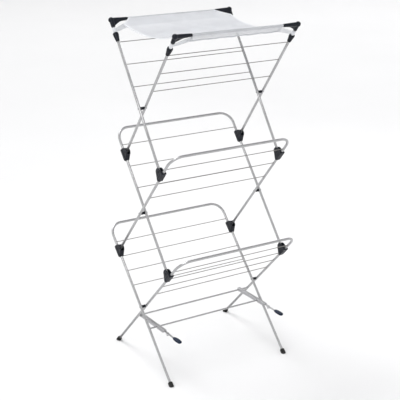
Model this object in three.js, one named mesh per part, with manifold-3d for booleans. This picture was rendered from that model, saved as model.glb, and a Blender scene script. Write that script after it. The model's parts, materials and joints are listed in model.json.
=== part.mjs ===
// Folding clothes drying rack: three tiers of scissor frames under a fabric mesh shelf.
// Millimetres, +Z up, +X to the right, the front faces -Y, origin on the floor below the centre.
import * as THREE from "three";
import { mergeVertices } from "three/addons/utils/BufferGeometryUtils.js";
import Module from "manifold-3d";

const wasm = await Module();
wasm.setup();

// Driving sizes of the folding linkage, in millimetres and degrees.
const LEG_SPACING = 583; // left leg centre to right leg centre of one frame
const FRAME_STAGGER = 26; // sideways step between the two sets of frames
const ARM_LENGTH = 273; // scissor pivot to clamp pin
const CLAMP_OFFSET = 20; // loop tube centre to clamp pin
const UPPER_SPLAY = 35.1; // angle of the top frames from the vertical, opened out
const TOP_LEG_LENGTH = 395; // upper pivot to top bar
const MIDDLE_LOOP_LENGTH = 391; // pivot to the cross run of a bent loop
const LOWER_LOOP_LENGTH = 398;
const LOOP_RADIUS = 55;
const FOOT_LENGTH = 366; // lower pivot to the floor along the leg

// Tubes, wires and rods.
const TUBE_RADIUS = 5.5;
const WIRE_RADIUS = 1.6;
const ROD_RADIUS = 3.6;
const TUBE_SIDES = 12;
const WIRE_SIDES = 6;
const BEND_STEPS = 6;
const TOP_WIRE_HEIGHT = 295; // highest wire above its pivot on the top frames
const MIDDLE_WIRE_HEIGHT = 314;
const LOWER_BACK_WIRE_HEIGHT = 312;
const LOWER_FRONT_WIRE_HEIGHT = 322;
const WIRE_PITCH = 100; // top and middle frames
const LOWER_WIRE_PITCH = 70;
const ROD_DROP = 102; // lock rods below the lower pivot

// Fits.
const GAP = 0.3; // between faces that touch on the real rack
const TUBE_BORE = TUBE_RADIUS + 0.4;
const PIN_RADIUS = 2.5;
const PIN_HOLE = PIN_RADIUS + 0.3;
const LEG_END_LENGTH = 10; // tube past the clamp pin

// Plastic pieces.
const CLAMP_CHEEK = 5.4; // each side of the slot
const CLAMP_WALL = 2.4; // round the loop tube
const CLAMP_TOP = 24;
const CLAMP_BOTTOM = 32;
const CLAMP_LOBE = 17;
const CLAMP_SLOT_DEPTH = 14;
const SPACER_WALL = 3.7;
const CAP_INSERT = 12; // corner to the end of each tube inside the cap
const CAP_WALL = 4.6; // at the knob
const CAP_BAR_ARM = 75;
const CAP_LEG_ARM = 32;
const CAP_WEB = 8;
const COLLAR_TOP_WALL = 6;
const COLLAR_BOTTOM_WALL = 2;
const COLLAR_LENGTH = 36;
const COLLAR_DROP = 60; // top bar to the top of the collar
const FOOT_WALL = 4.2;
const FOOT_SLEEVE = 20; // height of the foot up the leg
const FOOT_SOLE = 8; // tube end to the floor along the leg
const FOOT_BALL = 14; // radius that rounds off the rim and the toe

// Lock arms.
const LOCK_LEG_GAP = 3; // leg to the side of the lock arm
const LOCK_WIDTH = 16;
const LOCK_HEIGHT = 14;
const LOCK_WALL = 1.6;
const LOCK_LENGTH = 200; // pivot to the end of the channel
const LOCK_TAIL = 9;
const TONGUE_WIDTH = 12;
const TONGUE_THICKNESS = 2.5;
const TONGUE_LENGTH = 98;
const LIP_PLACE = 20; // channel end to the lip
const LIP_THICKNESS = 6;
const GRIP_START = 70; // channel end to the grip
const GRIP_LENGTH = 54;
const GRIP_RADIUS = 10.5;
const GRIP_FLATNESS = 0.68;

// Mesh shelf.
const FABRIC = 1.6;
const SHELF_SAG = 42;
const SLEEVE_BORE = TUBE_RADIUS + 0.6;
const SLEEVE_END_GAP = 2.5; // corner cap to fabric sleeve
const HEM_START = 4.9; // sleeve bore to the hem where it leaves the sleeve
const HEM_DROP = 35; // depth of the hem below the bar centre
const TAB_LENGTH = 20;
const SHELF_CORNER = 48; // how far in from the bar the shelf reaches its full width
const SHELF_STEPS = 10;

// Worked-out values.
const CLAMP_SLOT_WIDTH = 2 * (TUBE_RADIUS + 0.45);
const CLAMP_WIDTH = CLAMP_SLOT_WIDTH + 2 * CLAMP_CHEEK;
const CLAMP_BORE = TUBE_BORE + 0.2;
const CLAMP_SLEEVE = CLAMP_BORE + CLAMP_WALL;
const CLAMP_SLOT_START = CLAMP_BORE + 1.3; // from the loop tube centre
const SPACER_RADIUS = PIN_HOLE + SPACER_WALL;
const CAP_KNOB = TUBE_BORE + CAP_WALL;
const FOOT_RADIUS = TUBE_BORE + FOOT_WALL;
const LOCK_INSET = TUBE_RADIUS + LOCK_LEG_GAP + LOCK_WIDTH / 2;
const HEM_TOP = SLEEVE_BORE + HEM_START;
const RAD = Math.PI / 180;
const HALF_SPAN = LEG_SPACING / 2;
const HALF_STAGGER = FRAME_STAGGER / 2;
const SPLAY_STEP = Math.asin(CLAMP_OFFSET / ARM_LENGTH);
const CLAMP_HEIGHT = Math.sqrt(ARM_LENGTH ** 2 - CLAMP_OFFSET ** 2);
const SPLAY = {
  upper: UPPER_SPLAY * RAD,
  middle: UPPER_SPLAY * RAD + SPLAY_STEP,
  lower: UPPER_SPLAY * RAD + 2 * SPLAY_STEP,
};
const PIVOT = {};
PIVOT.lower = FOOT_LENGTH * Math.cos(SPLAY.lower);
PIVOT.middle = PIVOT.lower + 2 * ARM_LENGTH * Math.cos(SPLAY.middle);
PIVOT.upper = PIVOT.middle + 2 * ARM_LENGTH * Math.cos(SPLAY.upper);
const SIDES = { left: -1, right: 1 };

const PAINT = { color: 0xc9cacb, roughness: 0.38, metalness: 0.35 };
const STEEL = { color: 0xb9babb, roughness: 0.34, metalness: 0.85 };
const BLACK_PLASTIC = { color: 0x17181b, roughness: 0.45, metalness: 0 };
const BLACK_RUBBER = { color: 0x131315, roughness: 0.75, metalness: 0 };
const NAVY_GRIP = { color: 0x232c3d, roughness: 0.55, metalness: 0 };
const WHITE_MESH = { color: 0xeceeef, roughness: 0.9, metalness: 0 };

// A tube centreline that is sampled once per straight and BEND_STEPS times per bend.
class LoopPath extends THREE.Curve {
  constructor(halfWidth, top, bottom) {
    super();
    this.halfWidth = halfWidth;
    this.top = top;
    this.bottom = bottom;
    this.rings = 2 * BEND_STEPS + 3;
  }

  getUtoTmapping(u) {
    return u;
  }

  getPoint(t, target = new THREE.Vector3()) {
    const inner = this.halfWidth - LOOP_RADIUS;
    const shoulder = this.top - LOOP_RADIUS;
    const place = t * this.rings;
    const mirrored = place > this.rings / 2;
    const along = mirrored ? this.rings - place : place;
    const side = mirrored ? 1 : -1;
    if (along <= 1) {
      const height = this.bottom + (shoulder - this.bottom) * along;
      return target.set(side * this.halfWidth, 0, height);
    }
    if (along <= 1 + BEND_STEPS) {
      const angle = ((along - 1) / BEND_STEPS) * (Math.PI / 2);
      const x = inner + LOOP_RADIUS * Math.cos(angle);
      return target.set(side * x, 0, shoulder + LOOP_RADIUS * Math.sin(angle));
    }
    const share = (along - 1 - BEND_STEPS) / 0.5;
    return target.set(side * inner * (1 - share), 0, this.top);
  }
}

function toManifold(geometry) {
  const bare = geometry.clone();
  bare.deleteAttribute("normal");
  bare.deleteAttribute("uv");
  const welded = mergeVertices(bare, 1e-4);
  const data = {
    numProp: 3,
    vertProperties: welded.attributes.position.array,
    triVerts: new Uint32Array(welded.index.array),
  };
  return new wasm.Manifold(new wasm.Mesh(data));
}

function combine(geometries) {
  return geometries.map(toManifold).reduce((whole, piece) => whole.add(piece));
}

function cut(solid, geometries) {
  return geometries.map(toManifold).reduce((whole, piece) => whole.subtract(piece), solid);
}

function toGeometry(solid) {
  const result = solid.getMesh();
  const geometry = new THREE.BufferGeometry();
  geometry.setAttribute("position", new THREE.BufferAttribute(result.vertProperties, 3));
  geometry.setIndex(new THREE.BufferAttribute(result.triVerts, 1));
  const flat = geometry.toNonIndexed();
  flat.computeVertexNormals();
  return flat;
}

function namedMesh(name, geometry, look) {
  const mesh = new THREE.Mesh(geometry, new THREE.MeshStandardMaterial(look));
  mesh.name = name;
  return mesh;
}

function rodAlongX(radius, from, to, sides) {
  const rod = new THREE.CylinderGeometry(radius, radius, to - from, sides);
  return rod.rotateZ(Math.PI / 2).translate((from + to) / 2, 0, 0);
}

function rodAlongZ(radius, from, to, sides) {
  const rod = new THREE.CylinderGeometry(radius, radius, to - from, sides);
  return rod.rotateX(Math.PI / 2).translate(0, 0, (from + to) / 2);
}

function taperAlongX(startRadius, endRadius, length) {
  const cone = new THREE.CylinderGeometry(startRadius, endRadius, length, 14);
  return cone.rotateZ(Math.PI / 2).translate(length / 2, 0, 0);
}

function taperDownZ(startRadius, endRadius, length) {
  const cone = new THREE.CylinderGeometry(startRadius, endRadius, length, 14);
  return cone.rotateX(Math.PI / 2).translate(0, 0, -length / 2);
}

function box(low, high) {
  const size = high.map((value, axis) => value - low[axis]);
  const centre = high.map((value, axis) => (value + low[axis]) / 2);
  return new THREE.BoxGeometry(...size).translate(...centre);
}

function polygon(points) {
  return new THREE.Shape(points.map(([across, up]) => new THREE.Vector2(across, up)));
}

function regularSection(radius, sides) {
  const points = [];
  for (let i = 0; i < sides; i += 1) {
    const angle = (i / sides) * 2 * Math.PI;
    points.push([radius * Math.cos(angle), radius * Math.sin(angle)]);
  }
  return polygon(points);
}

// Closed ring about Z, its inner radius, outer radius, lower end and upper end given.
function ringAlongZ(inner, outer, from, to, chamfer, sides) {
  const profile = [
    [inner, from],
    [outer - chamfer, from],
    [outer, from + chamfer],
    [outer, to - chamfer],
    [outer - chamfer, to],
    [inner, to],
    [inner, from],
  ];
  const ring = new THREE.LatheGeometry(profile.map((p) => new THREE.Vector2(...p)), sides);
  return ring.rotateX(Math.PI / 2);
}

function ringAlongX(inner, outer, from, to, chamfer, sides) {
  return ringAlongZ(inner, outer, from, to, chamfer, sides).rotateY(Math.PI / 2);
}

// Pin along X with a low head at each end, the grip being the length between the heads.
function rivet(grip, headRadius, headHeight) {
  const half = grip / 2;
  const profile = [
    [0, -half - headHeight],
    [headRadius * 0.6, -half - headHeight],
    [headRadius, -half - headHeight * 0.4],
    [headRadius, -half],
    [PIN_RADIUS, -half],
    [PIN_RADIUS, half],
    [headRadius, half],
    [headRadius, half + headHeight * 0.4],
    [headRadius * 0.6, half + headHeight],
    [0, half + headHeight],
  ];
  const pin = new THREE.LatheGeometry(profile.map((p) => new THREE.Vector2(...p)), 8);
  return pin.rotateZ(-Math.PI / 2);
}

// Positions of the frames: tier, which way the upper half leans, and sideways shift.
const FRAMES = {
  upper_front: { tier: "upper", lean: -1, shift: HALF_STAGGER },
  upper_back: { tier: "upper", lean: 1, shift: -HALF_STAGGER },
  middle_back: { tier: "middle", lean: 1, shift: HALF_STAGGER },
  middle_front: { tier: "middle", lean: -1, shift: -HALF_STAGGER },
  lower_back: { tier: "lower", lean: 1, shift: -HALF_STAGGER },
  lower_front: { tier: "lower", lean: -1, shift: HALF_STAGGER },
};

// A group whose own Z runs up the frame's legs from its scissor pivot.
function frameGroup(place) {
  const group = new THREE.Group();
  group.position.set(place.shift, 0, PIVOT[place.tier]);
  group.rotation.x = -place.lean * SPLAY[place.tier];
  return group;
}

function wireHeights(highest, pitch, count) {
  return Array.from({ length: count }, (_, i) => highest - i * pitch);
}

function crossRods(radius, heights, sides) {
  return heights.map((height) =>
    rodAlongX(radius, -HALF_SPAN, HALF_SPAN, sides).translate(0, 0, height));
}

function pinHoles(heights) {
  const reach = 3 * TUBE_RADIUS;
  const holes = [];
  for (const side of Object.values(SIDES)) {
    for (const height of heights) {
      const hole = rodAlongX(PIN_HOLE, -reach, reach, 10);
      holes.push(hole.translate(side * HALF_SPAN, 0, height));
    }
  }
  return holes;
}

// Top frame: two straight legs with three wires welded between them.
function ladderFrame() {
  const bottom = -ARM_LENGTH - LEG_END_LENGTH;
  const top = TOP_LEG_LENGTH - CAP_INSERT;
  const legs = Object.values(SIDES).map((side) =>
    rodAlongZ(TUBE_RADIUS, bottom, top, TUBE_SIDES).translate(side * HALF_SPAN, 0, 0));
  const wires = crossRods(WIRE_RADIUS, wireHeights(TOP_WIRE_HEIGHT, WIRE_PITCH, 3), WIRE_SIDES);
  return toGeometry(cut(combine([...legs, ...wires]), pinHoles([0, -ARM_LENGTH])));
}

// Bent frame: one tube bent into a loop at the top, with wires and a lock rod welded across.
function loopFrame(top, bottom, wires, rods, holes) {
  const path = new LoopPath(HALF_SPAN, top, bottom);
  const section = regularSection(TUBE_RADIUS, TUBE_SIDES);
  const tube = new THREE.ExtrudeGeometry(section, { steps: path.rings, extrudePath: path });
  const cross = crossRods(WIRE_RADIUS, wires, WIRE_SIDES);
  const lockRods = crossRods(ROD_RADIUS, rods, 10);
  return toGeometry(cut(combine([tube, ...cross, ...lockRods]), pinHoles(holes)));
}

// Corner cap seen along Y: its bar arm runs along +X and its leg arm runs down -Z.
function cornerCap() {
  const knob = new THREE.SphereGeometry(CAP_KNOB, 14, 10);
  const barArm = taperAlongX(9.5, 7.4, CAP_BAR_ARM);
  const legArm = taperDownZ(9.5, 8.4, CAP_LEG_ARM);
  const outline = polygon([[0, 0], [0, -CAP_LEG_ARM], [CAP_BAR_ARM - 4, 0]]);
  const web = new THREE.ExtrudeGeometry(outline, { depth: CAP_WEB, bevelEnabled: false });
  web.rotateX(Math.PI / 2).translate(0, CAP_WEB / 2, 0);
  const start = CAP_INSERT - GAP;
  const barBore = rodAlongX(TUBE_BORE, start, CAP_BAR_ARM + 1, TUBE_SIDES);
  const legBore = rodAlongZ(TUBE_BORE, -CAP_LEG_ARM - 1, -start, TUBE_SIDES);
  return toGeometry(cut(combine([knob, barArm, legArm, web]), [barBore, legBore]));
}

// Outline of a clamp cheek: sleeve along the loop tube on the left, pin lobe on the right.
function clampOutline() {
  const shape = new THREE.Shape();
  const span = Math.hypot(CLAMP_OFFSET, CLAMP_BOTTOM - CLAMP_SLEEVE);
  const bearing = Math.atan2(CLAMP_BOTTOM - CLAMP_SLEEVE, CLAMP_OFFSET);
  const tilt = bearing - Math.acos((CLAMP_SLEEVE - CLAMP_LOBE) / span);
  shape.moveTo(-CLAMP_SLEEVE, CLAMP_TOP);
  shape.lineTo(-CLAMP_SLEEVE, CLAMP_SLEEVE - CLAMP_BOTTOM);
  shape.absarc(0, CLAMP_SLEEVE - CLAMP_BOTTOM, CLAMP_SLEEVE, Math.PI, 2 * Math.PI + tilt, false);
  shape.absarc(CLAMP_OFFSET, 0, CLAMP_LOBE, tilt, 0.55 * Math.PI, false);
  shape.lineTo(CLAMP_SLEEVE, CLAMP_TOP);
  shape.closePath();
  return shape;
}

// Notches that let a clamp slide over the wires welded to its tube, wires given from the pin.
function wireNotches(inboard, wires) {
  const half = WIRE_RADIUS + GAP;
  const low = Math.min(0, inboard * CLAMP_WIDTH);
  const high = Math.max(0, inboard * CLAMP_WIDTH);
  const bottom = -CLAMP_BOTTOM - 1;
  const top = CLAMP_TOP + 1;
  return wires.filter((wire) => wire > bottom - half && wire < top + half).map((wire) =>
    box([low, -half, wire < 0 ? bottom : wire - half], [high, half, wire < 0 ? wire + half : top]));
}

// Clamp about the loop tube: X across, Z up the tube, the pin lobe on the side of Y given.
function jointClamp(lobeSide, inboard, wires) {
  const options = { depth: CLAMP_WIDTH, bevelEnabled: false, curveSegments: 5 };
  const body = new THREE.ExtrudeGeometry(clampOutline(), options);
  body.translate(0, 0, -CLAMP_WIDTH / 2);
  const across = new THREE.Vector3(0, lobeSide, 0);
  const up = new THREE.Vector3(0, 0, 1);
  const through = new THREE.Vector3().crossVectors(across, up);
  body.applyMatrix4(new THREE.Matrix4().makeBasis(across, up, through));
  const halfSlot = CLAMP_SLOT_WIDTH / 2;
  const reach = CLAMP_OFFSET + CLAMP_LOBE + 5;
  const low = Math.min(lobeSide * CLAMP_SLOT_START, lobeSide * reach);
  const high = Math.max(lobeSide * CLAMP_SLOT_START, lobeSide * reach);
  const slot = box([-halfSlot, low, -CLAMP_SLOT_DEPTH], [halfSlot, high, CLAMP_TOP + 5]);
  const bore = rodAlongZ(CLAMP_BORE, -CLAMP_BOTTOM - 1, CLAMP_TOP + 1, 16);
  const pinHole = rodAlongX(PIN_HOLE, -CLAMP_WIDTH, CLAMP_WIDTH, 10);
  pinHole.translate(0, lobeSide * CLAMP_OFFSET, 0);
  const notches = wireNotches(inboard, wires);
  return toGeometry(cut(toManifold(body), [slot, bore, pinHole, ...notches]));
}

// Cup round a leg with its wide rim at the origin, narrowing down the leg.
function legCollar() {
  const top = TUBE_BORE + COLLAR_TOP_WALL;
  const bottom = TUBE_BORE + COLLAR_BOTTOM_WALL;
  const profile = [
    [TUBE_BORE, -COLLAR_LENGTH],
    [bottom - 0.8, -COLLAR_LENGTH],
    [bottom, 0.8 - COLLAR_LENGTH],
    [top, -COLLAR_LENGTH / 4],
    [top, -1.2],
    [top - 1.2, 0],
    [TUBE_BORE, 0],
    [TUBE_BORE, -COLLAR_LENGTH],
  ];
  const cup = new THREE.LatheGeometry(profile.map((p) => new THREE.Vector2(...p)), 14);
  return cup.rotateX(Math.PI / 2);
}

// Rounded foot cup in the leg's own axes, cut off level with the floor.
function footCup(place) {
  const end = -FOOT_LENGTH + FOOT_SOLE;
  const cup = rodAlongZ(FOOT_RADIUS, -FOOT_LENGTH - 12, -FOOT_LENGTH + FOOT_SLEEVE, 16);
  const bore = rodAlongZ(TUBE_BORE, end - GAP, -FOOT_LENGTH + FOOT_SLEEVE + 1, TUBE_SIDES);
  const ball = new THREE.SphereGeometry(FOOT_BALL, 16, 12);
  ball.rotateX(Math.PI / 2).translate(0, 0, end);
  const floor = box([-50, -400, -100], [50, 400, 0]);
  floor.translate(0, 0, -PIVOT.lower).rotateX(place.lean * SPLAY.lower);
  return toGeometry(cut(toManifold(cup), [bore, floor]).intersect(toManifold(ball)));
}

// Pressed channel with its pivot at the origin, reaching along -Y over the lower rod.
function lockArm(rodReach) {
  const half = LOCK_WIDTH / 2;
  const top = LOCK_HEIGHT / 2 + 0.5;
  const bottom = top - LOCK_HEIGHT;
  const inner = half - LOCK_WALL;
  const seat = ROD_RADIUS + 0.4;
  const shell = box([-half, -LOCK_LENGTH, bottom], [half, LOCK_TAIL, top]);
  const hollow = box(
    [-inner, -LOCK_LENGTH + LOCK_WALL, bottom - 1],
    [inner, LOCK_TAIL + 1, top - LOCK_WALL]);
  const tongueTop = bottom + 7;
  const tongue = box(
    [-TONGUE_WIDTH / 2, -LOCK_LENGTH - TONGUE_LENGTH, tongueTop - TONGUE_THICKNESS],
    [TONGUE_WIDTH / 2, -LOCK_LENGTH + 0.5, tongueTop]);
  const lipPlace = -LOCK_LENGTH - LIP_PLACE;
  const lip = box(
    [-half + 1, lipPlace - LIP_THICKNESS, bottom - 2],
    [half - 1, lipPlace, tongueTop]);
  const pivotHole = rodAlongX(ROD_RADIUS + GAP, -half - 1, half + 1, 12);
  const slope = seat - bottom + 1;
  const outline = polygon([
    [-seat, bottom - 1],
    [seat + 1.3 * slope, bottom - 1],
    [seat, seat],
    [-seat, seat],
  ]);
  const notch = new THREE.ExtrudeGeometry(outline, { depth: LOCK_WIDTH + 4, bevelEnabled: false });
  notch.rotateX(Math.PI / 2).rotateZ(Math.PI / 2);
  notch.translate(-half - 2, -rodReach, 0);
  const body = cut(toManifold(shell), [hollow, pivotHole, notch]);
  return toGeometry(body.add(combine([tongue, lip])));
}

// Soft grip over the tongue, an oval bulb along Y with a flat slot for the tongue.
function lockGrip() {
  const steps = 8;
  const profile = [];
  for (let i = 0; i <= steps; i += 1) {
    const share = i / steps;
    const bulge = Math.sqrt(Math.sin(Math.PI * Math.min(share * 0.94 + 0.06, 1)));
    const radius = i === 0 || i === steps ? 0 : GRIP_RADIUS * (0.35 + 0.65 * bulge);
    profile.push(new THREE.Vector2(radius, -share * GRIP_LENGTH));
  }
  const bulb = new THREE.LatheGeometry(profile.reverse(), 14).scale(1, 1, GRIP_FLATNESS);
  const middle = LOCK_HEIGHT / 2 + 0.5 - LOCK_HEIGHT + 7 - TONGUE_THICKNESS / 2;
  bulb.translate(0, -LOCK_LENGTH - GRIP_START, middle);
  const halfWidth = TONGUE_WIDTH / 2 + GAP;
  const halfHeight = TONGUE_THICKNESS / 2 + GAP;
  const slot = box(
    [-halfWidth, -LOCK_LENGTH - TONGUE_LENGTH - GAP, middle - halfHeight],
    [halfWidth, -LOCK_LENGTH - GRIP_START + 1, middle + halfHeight]);
  return toGeometry(cut(toManifold(bulb), [slot]));
}

// Fabric round one top bar, with its hem and the tabs that wrap the two legs.
function barSleeve(place) {
  const bar = TOP_LEG_LENGTH;
  const half = HALF_SPAN - CAP_BAR_ARM - SLEEVE_END_GAP;
  const outer = SLEEVE_BORE + FABRIC;
  const tabTop = bar - CAP_LEG_ARM - 5;
  const tabBottom = tabTop - TAB_LENGTH;
  const leg = HALF_SPAN - SLEEVE_BORE;
  const outline = polygon([
    [-half, bar - SLEEVE_BORE],
    [half, bar - SLEEVE_BORE],
    [half, bar - HEM_TOP],
    [leg, tabTop],
    [leg, tabBottom],
    [half, bar - HEM_DROP],
    [-half, bar - HEM_DROP],
    [-leg, tabBottom],
    [-leg, tabTop],
    [-half, bar - HEM_TOP],
  ]);
  const hem = new THREE.ExtrudeGeometry(outline, { depth: FABRIC, bevelEnabled: false });
  hem.rotateX(Math.PI / 2).translate(0, FABRIC / 2, 0);
  const sleeve = ringAlongX(SLEEVE_BORE, outer, -half, half, 0.3, TUBE_SIDES);
  sleeve.translate(0, 0, bar);
  const tabs = Object.values(SIDES).map((side) =>
    ringAlongZ(SLEEVE_BORE, outer, tabBottom, tabTop, 0.3, TUBE_SIDES)
      .translate(side * HALF_SPAN, 0, 0));
  const whole = cut(combine([hem, sleeve, ...tabs]), [
    rodAlongX(SLEEVE_BORE, -half - 1, half + 1, TUBE_SIDES).translate(0, 0, bar),
  ]);
  const group = frameGroup(place);
  group.updateMatrix();
  return toManifold(toGeometry(whole).applyMatrix4(group.matrix));
}

// Mesh shelf: a sagging sheet between the two bar sleeves, its corners cut off short.
function meshShelf() {
  const barY = TOP_LEG_LENGTH * Math.sin(SPLAY.upper);
  const barZ = PIVOT.upper + TOP_LEG_LENGTH * Math.cos(SPLAY.upper);
  const reach = barY - SLEEVE_BORE - FABRIC / 2;
  const halfWidth = HALF_SPAN - HALF_STAGGER - SLEEVE_BORE;
  const upper = [];
  const lower = [];
  for (let i = 0; i <= SHELF_STEPS; i += 1) {
    const share = (2 * i) / SHELF_STEPS - 1;
    const height = barZ - SHELF_SAG * (1 - share ** 2);
    upper.push([share * reach, height]);
    lower.push([share * reach, height - FABRIC]);
  }
  const outline = polygon([...lower, ...upper.reverse()]);
  const options = { depth: 2 * halfWidth, bevelEnabled: false };
  const sheet = new THREE.ExtrudeGeometry(outline, options);
  sheet.translate(0, 0, -halfWidth).rotateX(Math.PI / 2).rotateZ(Math.PI / 2);
  const corners = [];
  for (const place of [FRAMES.upper_front, FRAMES.upper_back]) {
    for (const side of Object.values(SIDES)) {
      const sleeveEnd = place.shift + side * (HALF_SPAN - CAP_BAR_ARM - SLEEVE_END_GAP);
      const outerX = side * (HALF_SPAN + 40);
      const wedge = polygon([
        [sleeveEnd, place.lean * (barY + 20)],
        [sleeveEnd, place.lean * (barY - 12)],
        [side * (halfWidth + 2), place.lean * (barY - SHELF_CORNER)],
        [outerX, place.lean * (barY - SHELF_CORNER)],
        [outerX, place.lean * (barY + 20)],
      ]);
      const prism = new THREE.ExtrudeGeometry(wedge, { depth: 200, bevelEnabled: false });
      corners.push(prism.translate(0, 0, barZ - 150));
    }
  }
  const trimmed = cut(toManifold(sheet), corners);
  const sleeves = [barSleeve(FRAMES.upper_front), barSleeve(FRAMES.upper_back)];
  return toGeometry(sleeves.reduce((whole, piece) => whole.add(piece), trimmed));
}

function addTopFrame(rack, name) {
  const place = FRAMES[name];
  const face = name.split("_")[1];
  const group = frameGroup(place);
  group.add(namedMesh(`${name}_frame`, ladderFrame(), PAINT));
  const barEnd = HALF_SPAN - CAP_INSERT;
  const bar = namedMesh(`${name}_bar`, rodAlongX(TUBE_RADIUS, -barEnd, barEnd, TUBE_SIDES), PAINT);
  bar.position.z = TOP_LEG_LENGTH;
  group.add(bar);
  for (const [sideName, side] of Object.entries(SIDES)) {
    const cap = namedMesh(`${face}_${sideName}_corner_cap`, cornerCap(), BLACK_PLASTIC);
    cap.position.set(side * HALF_SPAN, 0, TOP_LEG_LENGTH);
    cap.rotation.z = side > 0 ? Math.PI : 0;
    group.add(cap);
    const collar = namedMesh(`${face}_${sideName}_leg_collar`, legCollar(), BLACK_PLASTIC);
    collar.position.set(side * HALF_SPAN, 0, TOP_LEG_LENGTH - COLLAR_DROP);
    group.add(collar);
  }
  rack.add(group);
}

// Clamps and their pins on a loop frame's legs, where the frame above it is hinged.
function addClamps(group, place, clampTier, face, wires) {
  const lobeSide = -place.lean;
  const nearWires = wires.map((height) => height - CLAMP_HEIGHT);
  for (const [sideName, side] of Object.entries(SIDES)) {
    const stem = `${clampTier}_${face}_${sideName}_clamp`;
    const body = jointClamp(lobeSide, -side, nearWires);
    const clamp = namedMesh(stem, body, BLACK_PLASTIC);
    clamp.position.set(side * HALF_SPAN, 0, CLAMP_HEIGHT);
    group.add(clamp);
    const pin = namedMesh(`${stem}_pin`, rivet(CLAMP_WIDTH + 2 * GAP, 4, 1.2), STEEL);
    pin.position.set(side * HALF_SPAN, lobeSide * CLAMP_OFFSET, CLAMP_HEIGHT);
    group.add(pin);
  }
}

function addMiddleFrame(rack, name, clampFace) {
  const place = FRAMES[name];
  const group = frameGroup(place);
  const wires = wireHeights(MIDDLE_WIRE_HEIGHT, WIRE_PITCH, 3);
  const bottom = -ARM_LENGTH - LEG_END_LENGTH;
  const frame = loopFrame(MIDDLE_LOOP_LENGTH, bottom, wires, [], [0, -ARM_LENGTH]);
  group.add(namedMesh(`${name}_frame`, frame, PAINT));
  addClamps(group, place, "upper", clampFace, wires);
  rack.add(group);
}

function addLowerFrame(rack, name, clampFace, footFace, highestWire) {
  const place = FRAMES[name];
  const group = frameGroup(place);
  const wires = wireHeights(highestWire, LOWER_WIRE_PITCH, 4);
  const bottom = -FOOT_LENGTH + FOOT_SOLE;
  const frame = loopFrame(LOWER_LOOP_LENGTH, bottom, wires, [-ROD_DROP], [0]);
  group.add(namedMesh(`${name}_frame`, frame, PAINT));
  addClamps(group, place, "lower", clampFace, wires);
  for (const [sideName, side] of Object.entries(SIDES)) {
    const foot = namedMesh(`${footFace}_${sideName}_foot`, footCup(place), BLACK_RUBBER);
    foot.position.x = side * HALF_SPAN;
    group.add(foot);
  }
  rack.add(group);
}

// Spacer bush and rivet through both frames at each scissor pivot.
function addScissorPivots(rack) {
  const bushLength = FRAME_STAGGER - 2 * TUBE_RADIUS - 2 * GAP;
  const grip = FRAME_STAGGER + 2 * TUBE_RADIUS + 2 * GAP;
  for (const [tier, height] of Object.entries(PIVOT)) {
    for (const [sideName, side] of Object.entries(SIDES)) {
      const half = bushLength / 2;
      const bush = ringAlongX(PIN_HOLE, SPACER_RADIUS, -half, half, 0.8, 14);
      const spacer = namedMesh(`${tier}_${sideName}_spacer`, bush, BLACK_PLASTIC);
      const pin = namedMesh(`${tier}_${sideName}_rivet`, rivet(grip, 4.5, 1.8), STEEL);
      for (const mesh of [spacer, pin]) {
        mesh.position.set(side * HALF_SPAN, 0, height);
        rack.add(mesh);
      }
    }
  }
}

// Lock arms on the lower front frame's rod, resting over the lower back frame's rod.
function addLockArms(rack) {
  const rodY = ROD_DROP * Math.sin(SPLAY.lower);
  const rodZ = PIVOT.lower - ROD_DROP * Math.cos(SPLAY.lower);
  const place = HALF_SPAN - HALF_STAGGER - LOCK_INSET;
  for (const [sideName, side] of Object.entries(SIDES)) {
    const arm = namedMesh(`${sideName}_lock_arm`, lockArm(2 * rodY), STEEL);
    const grip = namedMesh(`${sideName}_lock_grip`, lockGrip(), NAVY_GRIP);
    for (const mesh of [arm, grip]) {
      mesh.position.set(side * place, rodY, rodZ);
      rack.add(mesh);
    }
  }
}

function buildRack() {
  const rack = new THREE.Group();
  addTopFrame(rack, "upper_front");
  addTopFrame(rack, "upper_back");
  addMiddleFrame(rack, "middle_back", "back");
  addMiddleFrame(rack, "middle_front", "front");
  addLowerFrame(rack, "lower_back", "back", "front", LOWER_BACK_WIRE_HEIGHT);
  addLowerFrame(rack, "lower_front", "front", "back", LOWER_FRONT_WIRE_HEIGHT);
  addScissorPivots(rack);
  addLockArms(rack);
  rack.add(namedMesh("mesh_shelf", meshShelf(), WHITE_MESH));
  return rack;
}

export default buildRack();
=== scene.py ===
"""Looks for a folding clothes drying rack: round tubes and welded wires, moulded caps, clamps and
feet, pressed lock arms with soft grips, and a hemmed mesh shelf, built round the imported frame.

Lengths are in metres. Every surface is worked out as whole numpy arrays: a grid of points over two
parameters, a section carried along a path, or the skin of a smooth field for moulded pieces.
"""

import json
import math

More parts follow.
